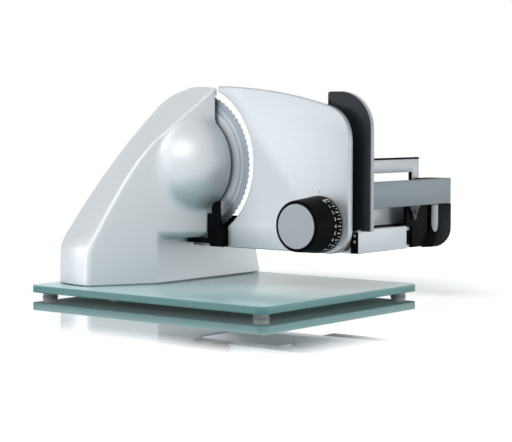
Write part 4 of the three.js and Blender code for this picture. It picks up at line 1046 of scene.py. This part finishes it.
def knob():
    centre = point(KNOB_X, KNOB_REAR, KNOB_Z)
    seat, bore_end, bore, rim, groove = KNOB_LENGTH - 1.6, 24.3, 5.3, 25, 15
    skirt_end = KNOB_LENGTH - NOSE_ROUND
    profile = [
        (0, bore_end),
        (bore, bore_end),
        (bore, 0),
        *curve((KNOB_RADIUS - REAR_ROUND, 0), (KNOB_RADIUS, 0), (KNOB_RADIUS, REAR_ROUND), 4),
        (skirt(groove - 0.3), groove - 0.3),
        (skirt(groove) - 0.3, groove),
        (skirt(groove + 0.3), groove + 0.3),
        *curve((KNOB_NOSE, skirt_end), (KNOB_NOSE, KNOB_LENGTH), (rim + 0.4, KNOB_LENGTH), 7),
        (rim, KNOB_LENGTH - 0.3),
        (rim, seat),
        (0, seat),
    ]
    body = turned(profile, centre, -Y_AXIS, 128)
    cap_edge, cap_top = rim - SEAT, KNOB_LENGTH - 0.3
    cap_profile = [
        (0, seat + SEAT),
        (cap_edge, seat + SEAT),
        (cap_edge, cap_top - 0.3),
        (cap_edge - 0.3, cap_top),
        (0, cap_top),
    ]
    cap = turned(cap_profile, centre, -Y_AXIS, 128)
    dial = dial_marks()
    modify(dial, "SHRINKWRAP", target=body, wrap_method="NEAREST_SURFACEPOINT", offset=0)
    modify(dial, "SOLIDIFY", thickness=0.1 * MM, offset=1)
    settle(body, "thickness_knob", BLACK, "knob")
    settle(cap, "knob_face", CAP, "knob_cap")
    settle(dial, "dial_print", INK, "knob", instead=False)


# Guide arm's end and the rod in its groove

def guide_arm_end():
    low, high = extent("arm_end_plate")
    end = rounded_block(low, (high.x, high.y, extent("carriage_fence")[0].z - 0.7), 0.8, 3)
    settle(end, "guide_arm_end", SATIN, "arm_end_plate")
    # A black strip along the arm's side paints the shade that the stop plate casts there; two screws sit on
    # it
    shade_strip_back, side = 221.6, low.y - 0.6
    shade_strip_low = (shade_strip_back, side, low.z + 0.4)
    trim = rounded_block(shade_strip_low, (high.x - 0.4, low.y + 0.2, high.z - 0.4), 0.25, 2)
    settle(trim, "arm_side_painted_shade", BLACK, "guide_arm", instead=False)
    screw_x, upper_z, lower_z = 227, -76.5, -83
    head = [(0, 0), (1.7, 0), *curve((1.7, 0.5), (1.4, 1), (0.6, 1), 5), (0.5, 0.6), (0, 0.6)]
    upper = turned(head, point(screw_x, side, upper_z), -Y_AXIS, 24)
    lower = copied(upper, Z_AXIS * (lower_z - upper_z) * MM)
    settle(upper, "arm_screw_upper", STEEL, "guide_arm", instead=False)
    settle(lower, "arm_screw_lower", STEEL, "guide_arm", instead=False)


def guide_rod():
    low, high = extent("guide_rod")
    length, radius, chamfer = high.x - low.x, (high.z - low.z) / 2, 0.7
    profile = [
        (0, 0),
        (radius - chamfer, 0),
        (radius, chamfer),
        (radius, length - chamfer),
        (radius - chamfer, length),
        (0, length),
    ]
    rod = turned(profile, end_of("guide_rod"), X_AXIS, 48)
    settle(rod, "guide_rod_bar", STEEL, "guide_rod")


# Carriage

def fence():
    low, high = extent("carriage_fence")
    trim, corner = 2.2, 3
    step = extent("carriage_bracket")[1].y
    raised = extent("carriage_table")[1].z - 3
    outline = [
        (low.y, low.z),
        (step, low.z),
        (step, raised),
        (high.y, raised),
        (high.y, high.z - trim),
        (low.y, high.z - trim),
    ]
    wall = sheet(outline, X_AXIS, low.x, high.x)
    slot_low, slot_high = (40, -40), (153, -10)
    slot = rounded_rectangle(slot_low, slot_high, corner, 5)
    cut(wall, sheet(slot, X_AXIS, low.x - 5, low.x + 10))
    round_edges(wall, 0.5, 2)
    settle(wall, "carriage_fence_sheet", FENCE, "carriage_fence")
    # A black block over the slot's end wall paints the shade that falls on that wall
    slot_shade_low = (low.x - 0.4, slot_high[0] - 1.8, slot_low[1])
    slot_shade = rounded_block(slot_shade_low, (high.x + 0.5, slot_high[0] + 0.2, slot_high[1]), 0.4, 2)
    settle(slot_shade, "fence_slot_painted_shade", BLACK, "carriage_fence", instead=False)
    bead_low = (low.x - 0.6, low.y, high.z - trim)
    bead = rounded_block(bead_low, (high.x + 0.6, high.y, high.z), 0.8, 3)
    settle(bead, "fence_edge_bead", BLACK, "carriage_fence", instead=False)


def thumb_guard():
    low, high = extent("thumb_guard")
    round_top, corner, front_share = 42, 3, 2.4
    outline = [
        (low.x, low.z),
        (high.x, low.z),
        *arc(high.x - round_top, high.z - round_top, round_top, 0, 90, 28),
        *arc(low.x + corner, high.z - corner, corner, 90, 180, 6),
    ]
    rear_y = low.y + front_share
    front = sheet(outline, Y_AXIS, low.y, rear_y)
    round_edges(front, 0.8)
    settle(front, "thumb_guard_moulding", SLATE, "thumb_guard")
    # The guard's rear part is paler grey, which paints the light falling on its side face
    rear = sheet(outline, Y_AXIS, rear_y, high.y)
    round_edges(rear, 0.6)
    settle(rear, "thumb_guard_painted_side_light", SIDE_LIGHT_GREY, "thumb_guard", instead=False)


def grip_bar():
    low, high = extent("grip_bar")
    corner, thick = 2, 3
    outline = [
        (high.x - thick, low.y),
        (high.x, low.y),
        *arc(high.x - corner, high.y - corner, corner, 0, 90, 10),
        (low.x, high.y),
        (low.x, high.y - thick),
        (high.x - thick, high.y - thick),
    ]
    bar = sheet(outline, Z_AXIS, low.z, high.z)
    round_edges(bar, 1)
    settle(bar, "grip_bar_strip", STRIP, "grip_bar")


def handle_shell():
    low, high = extent("handle_shell")
    bend_wide, bend_tall, lip, lip_in = 34, 20, 4, 8
    bar_low = extent("grip_bar")[0].z - SEAT
    inset = high.y - 3 - SEAT
    # The inner wall runs into the floor in one round, which goes on before the bracket
    wall, round_y, round_z, inner = 158, 128, -67.5, 30
    meets = math.degrees(math.acos((low.y - round_y) / inner))
    outline = [
        (low.y, low.z),
        *((high.y + bend_wide * (c - 1), low.z + bend_tall * (s + 1)) for c, s in arc(0, 0, 1, -90, 0, 24)),
        (high.y, bar_low),
        (inset, bar_low),
        (inset, high.z),
        (low.y + lip_in, high.z),
        (low.y + lip_in, high.z - lip),
        (wall, high.z - lip),
        *arc(round_y, round_z, inner, 0, -meets, 12),
    ]
    # Below the bar the shell comes forward, flush with the bar
    front = extent("grip_bar")[1].x - SEAT
    shell = sheet(outline, X_AXIS, low.x, front)
    before_bracket = extent("carriage_bracket")[1].x + SEAT
    tray = [*arc(round_y, round_z, inner, -meets + 1, -80, 16), (round_y, low.z), (low.y + 1, low.z)]
    combine(shell, sheet(tray, X_AXIS, before_bracket, front), "UNION")
    cut(shell, box_piece((high.x, 0, bar_low), (FAR, FAR, FAR)))
    # The front edge is cut off at 45 degrees, round the bend and up the wall
    deep = front - before_bracket
    past = deep + 1
    cone = [(0, 0), (inner, 0), (inner + past, past), (0, past)]
    wedge = [(before_bracket, wall), (front + 1, wall), (front + 1, wall + past)]
    cut(
        shell,
        turned(cone, point(before_bracket, round_y, round_z), X_AXIS),
        sheet(wedge, Z_AXIS, round_z, round_z + 40),
    )
    round_edges(shell, 0.6)
    settle(shell, "handle_shell_moulding", BLACK, "handle_shell")
    # A bowed pale metal strip lies on the cut edge, up to the bar: it paints the highlight on the shell's
    # rounded inner edge
    inner_end, outer_end = (before_bracket + 0.4, wall + 0.2), (front - 0.4, wall + deep - 0.6)
    bow = (front - 1, wall + 1)
    trim = sheet(curve(inner_end, bow, outer_end, 10), Z_AXIS, round_z - 14, bar_low - 0.5)
    smooth(trim)
    settle(trim, "handle_painted_highlight_strip", CAP, "handle_shell", instead=False)


def lock_lever():
    low, high = extent("lock_lever")
    pivot_y, pivot_z, pivot_hole, tip = (low.y + high.y) / 2, -55, 2.35, 3.75
    outline = [
        *curve((low.y, high.z), (pivot_y - tip, pivot_z), (pivot_y - tip, low.z + tip), 10),
        *arc(pivot_y, low.z + tip, tip, 180, 360, 12),
        *curve((pivot_y + tip, low.z + tip), (pivot_y + tip, pivot_z), (high.y, high.z), 10),
    ]
    lever = sheet(outline, X_AXIS, low.x, high.x)
    cut(lever, drill(pivot_hole, low.x - 5, low.x + 20, (0, pivot_y, pivot_z), X_AXIS, 24))
    round_edges(lever, 0.6)
    settle(lever, "carriage_lock_lever", SLATE, "lock_lever")


# Switch and cord inlet on the tower's back

def switch_and_inlet():
    low, high = extent("switch_bezel")
    rim, depth, bore, wall = (high.y - low.y) / 2, high.x - low.x, 7.35, 9.35
    profile = [
        (bore, 0.6),
        (bore + 0.6, 0),
        *curve((rim - 0.8, 0), (rim, 0), (rim, 0.8), 4),
        (rim, 1.5),
        (wall, 1.5),
        (wall, depth),
        (bore, depth),
        (bore, 0.6),
    ]
    bezel = turned(profile, end_of("switch_bezel"), X_AXIS, 64)
    settle(bezel, "switch_bezel_ring", BLACK, "switch_bezel")
    low, high = extent("switch_button")
    radius, length = (high.y - low.y) / 2, high.x - low.x
    profile = [
        *curve((0, 0.5), (radius - 2, 0.5), (radius - 1.2, 0.1), 5),
        *curve((radius - 1.2, 0.1), (radius, 0), (radius, 1.2), 5),
        (radius, length),
        (0, length),
    ]
    button = turned(profile, end_of("switch_button"), X_AXIS, 64)
    settle(button, "switch_button_cap", SLATE, "switch_button")
    low, high = extent("cord_inlet")
    flange, depth, bore = (high.y - low.y) / 2, high.x - low.x, 3.6
    profile = [
        (bore, 0.8),
        (bore + 0.8, 0),
        *curve((flange - 3, 0), (flange, 0.3), (flange, 3), 6),
        (flange, 4.7),
        (flange - 2, 4.7),
        (flange - 2, depth),
        (bore, depth),
        (bore, 0.8),
    ]
    inlet = turned(profile, end_of("cord_inlet"), X_AXIS, 64)
    settle(inlet, "cord_inlet_grommet", BLACK, "cord_inlet")


tower_piece()
rounded_copies()
glass_plate()
rubber_feet()
blade_piece()
lock_cap()
edge_guard()
stop_plate()
knob()
guide_arm_end()
guide_rod()
fence()
thumb_guard()
grip_bar()
handle_shell()
lock_lever()
switch_and_inlet()


# Camera, floor and light

CAMERA_PLACE = (1202.26, -1388.83, 49.71)
CAMERA_AIM = Vector((-0.62247, 0.78, -0.06436))
camera_data = bpy.data.cameras.new("photo_camera")
camera_data.sensor_fit = "HORIZONTAL"
camera_data.sensor_width = 36
camera_data.lens = 108.66
camera = bpy.data.objects.new("photo_camera", camera_data)
camera.location = point(*CAMERA_PLACE)
camera.rotation_euler = CAMERA_AIM.to_track_quat("-Z", "Y").to_euler()
scene.collection.objects.link(camera)
scene.camera = camera


def studio_floor():
    """A white gloss acrylic sheet, polished where the slicer stands: it mirrors the base's edge."""
    floor = added(bpy.ops.mesh.primitive_plane_add, size=24)
    floor.name = "studio_floor"
    bpy.ops.transform.translate(value=(0, 0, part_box("foot_front_left")[0][2]))
    bpy.ops.object.transform_apply()
    material, tree, place = new_material("white_gloss_acrylic_sheet")
    run = add_node(tree, "ShaderNodeVectorMath", {0: place}, operation="LENGTH").outputs["Value"]
    # Near the object the floor keeps its shadow, and further out it is lifted to plain white
    lift = add_node(tree, "ShaderNodeMapRange", {
        "Value": run,
        "From Min": 0.2,
        "From Max": 0.45,
        "To Min": 0.3,
        "To Max": 0.8,
    })
    # Polished round the glass plate and a little towards the camera, and matt further out
    low, high = (Vector(corner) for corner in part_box("glass_base_plate"))
    centre = (low + high) / 2 + Vector((0.056, -0.07, 0))
    off = add_node(tree, "ShaderNodeVectorMath", {0: place, 1: centre}, operation="SUBTRACT")
    size = add_node(tree, "ShaderNodeVectorMath", {0: off}, operation="ABSOLUTE")
    beyond = add_node(tree, "ShaderNodeVectorMath", {0: size, 1: (high - low) / 2}, operation="SUBTRACT")
    sides = add_node(tree, "ShaderNodeSeparateXYZ", {"Vector": beyond}).outputs
    polish = add_node(tree, "ShaderNodeMapRange", {
        "Value": add_node(tree, "ShaderNodeMath", {0: sides["X"], 1: sides["Y"]}, operation="MAXIMUM"),
        "From Min": 0.055,
        "From Max": 0.15,
        "To Min": 0.94,
        "To Max": 0.05,
    }, interpolation_type="SMOOTHSTEP")
    # Like any gloss sheet it mirrors strongly at a low angle, and little from above
    gloss = add_node(tree, "ShaderNodeMapRange", {
        "Value": add_node(tree, "ShaderNodeFresnel", {"IOR": 1.5}),
        "From Min": 0.04,
        "From Max": 0.4,
        "To Min": 0.08,
    })
    matt = add_node(tree, "ShaderNodeBsdfDiffuse", {"Color": linear("D8DBDD")})
    glow = add_node(tree, "ShaderNodeEmission", {
        "Color": linear("FFFFFF"),
        "Strength": add_node(tree, "ShaderNodeMath", {
            0: shows_background(tree),
            1: lift,
        }, operation="MULTIPLY"),
    })
    shader = add_node(tree, "ShaderNodeMixShader", {
        0: add_node(tree, "ShaderNodeMath", {0: polish, 1: gloss}, operation="MULTIPLY"),
        1: add_node(tree, "ShaderNodeAddShader", {0: matt, 1: glow}),
        2: add_node(tree, "ShaderNodeBsdfGlossy", {"Color": linear("FFFFFF"), "Roughness": 0.02}),
    })
    add_node(tree, "ShaderNodeOutputMaterial", {"Surface": shader})
    floor.data.materials.append(material)


def studio_world():
    """A pale sky that lights the slicer, where the background itself shows plain white."""
    world = bpy.data.worlds.new("studio_white")
    scene.world = world
    world.use_nodes = True
    tree = world.node_tree
    tree.nodes.clear()
    shader = add_node(tree, "ShaderNodeMixShader", {
        0: shows_background(tree),
        1: add_node(tree, "ShaderNodeBackground", {"Color": linear("F1F5F8"), "Strength": 0.32}),
        2: add_node(tree, "ShaderNodeBackground", {"Color": linear("FFFFFF"), "Strength": 1}),
    })
    add_node(tree, "ShaderNodeOutputWorld", {"Surface": shader})


SLICER_MIDDLE = Vector((0, 0, 0.12))


def softbox(name, place, size, power, mirrored=True):
    """A lamp that faces the slicer's middle."""
    data = bpy.data.lights.new(name, "AREA")
    data.shape = "RECTANGLE"
    data.size, data.size_y = size
    data.energy = power
    lamp = bpy.data.objects.new(name, data)
    lamp.location = place
    lamp.visible_glossy = mirrored
    lamp.rotation_euler = (SLICER_MIDDLE - Vector(place)).to_track_quat("-Z", "Y").to_euler()
    scene.collection.objects.link(lamp)


studio_floor()
studio_world()
softbox("overhead_softbox", (-0.3, 0.1, 1.8), (1.4, 1.2), 12, mirrored=False)
softbox("key_softbox", (0.45, -1.75, 1.35), (1.8, 1.2), 12.5)
softbox("left_softbox", (-1.12, -1.53, 0.35), (1, 0.5), 5)
softbox("low_softbox", (1.5, 1.3, 0.2), (1.6, 0.5), 3)
softbox("front_softbox", (1.5, 0.1, 0.12), (0.8, 0.4), 8, mirrored=False)
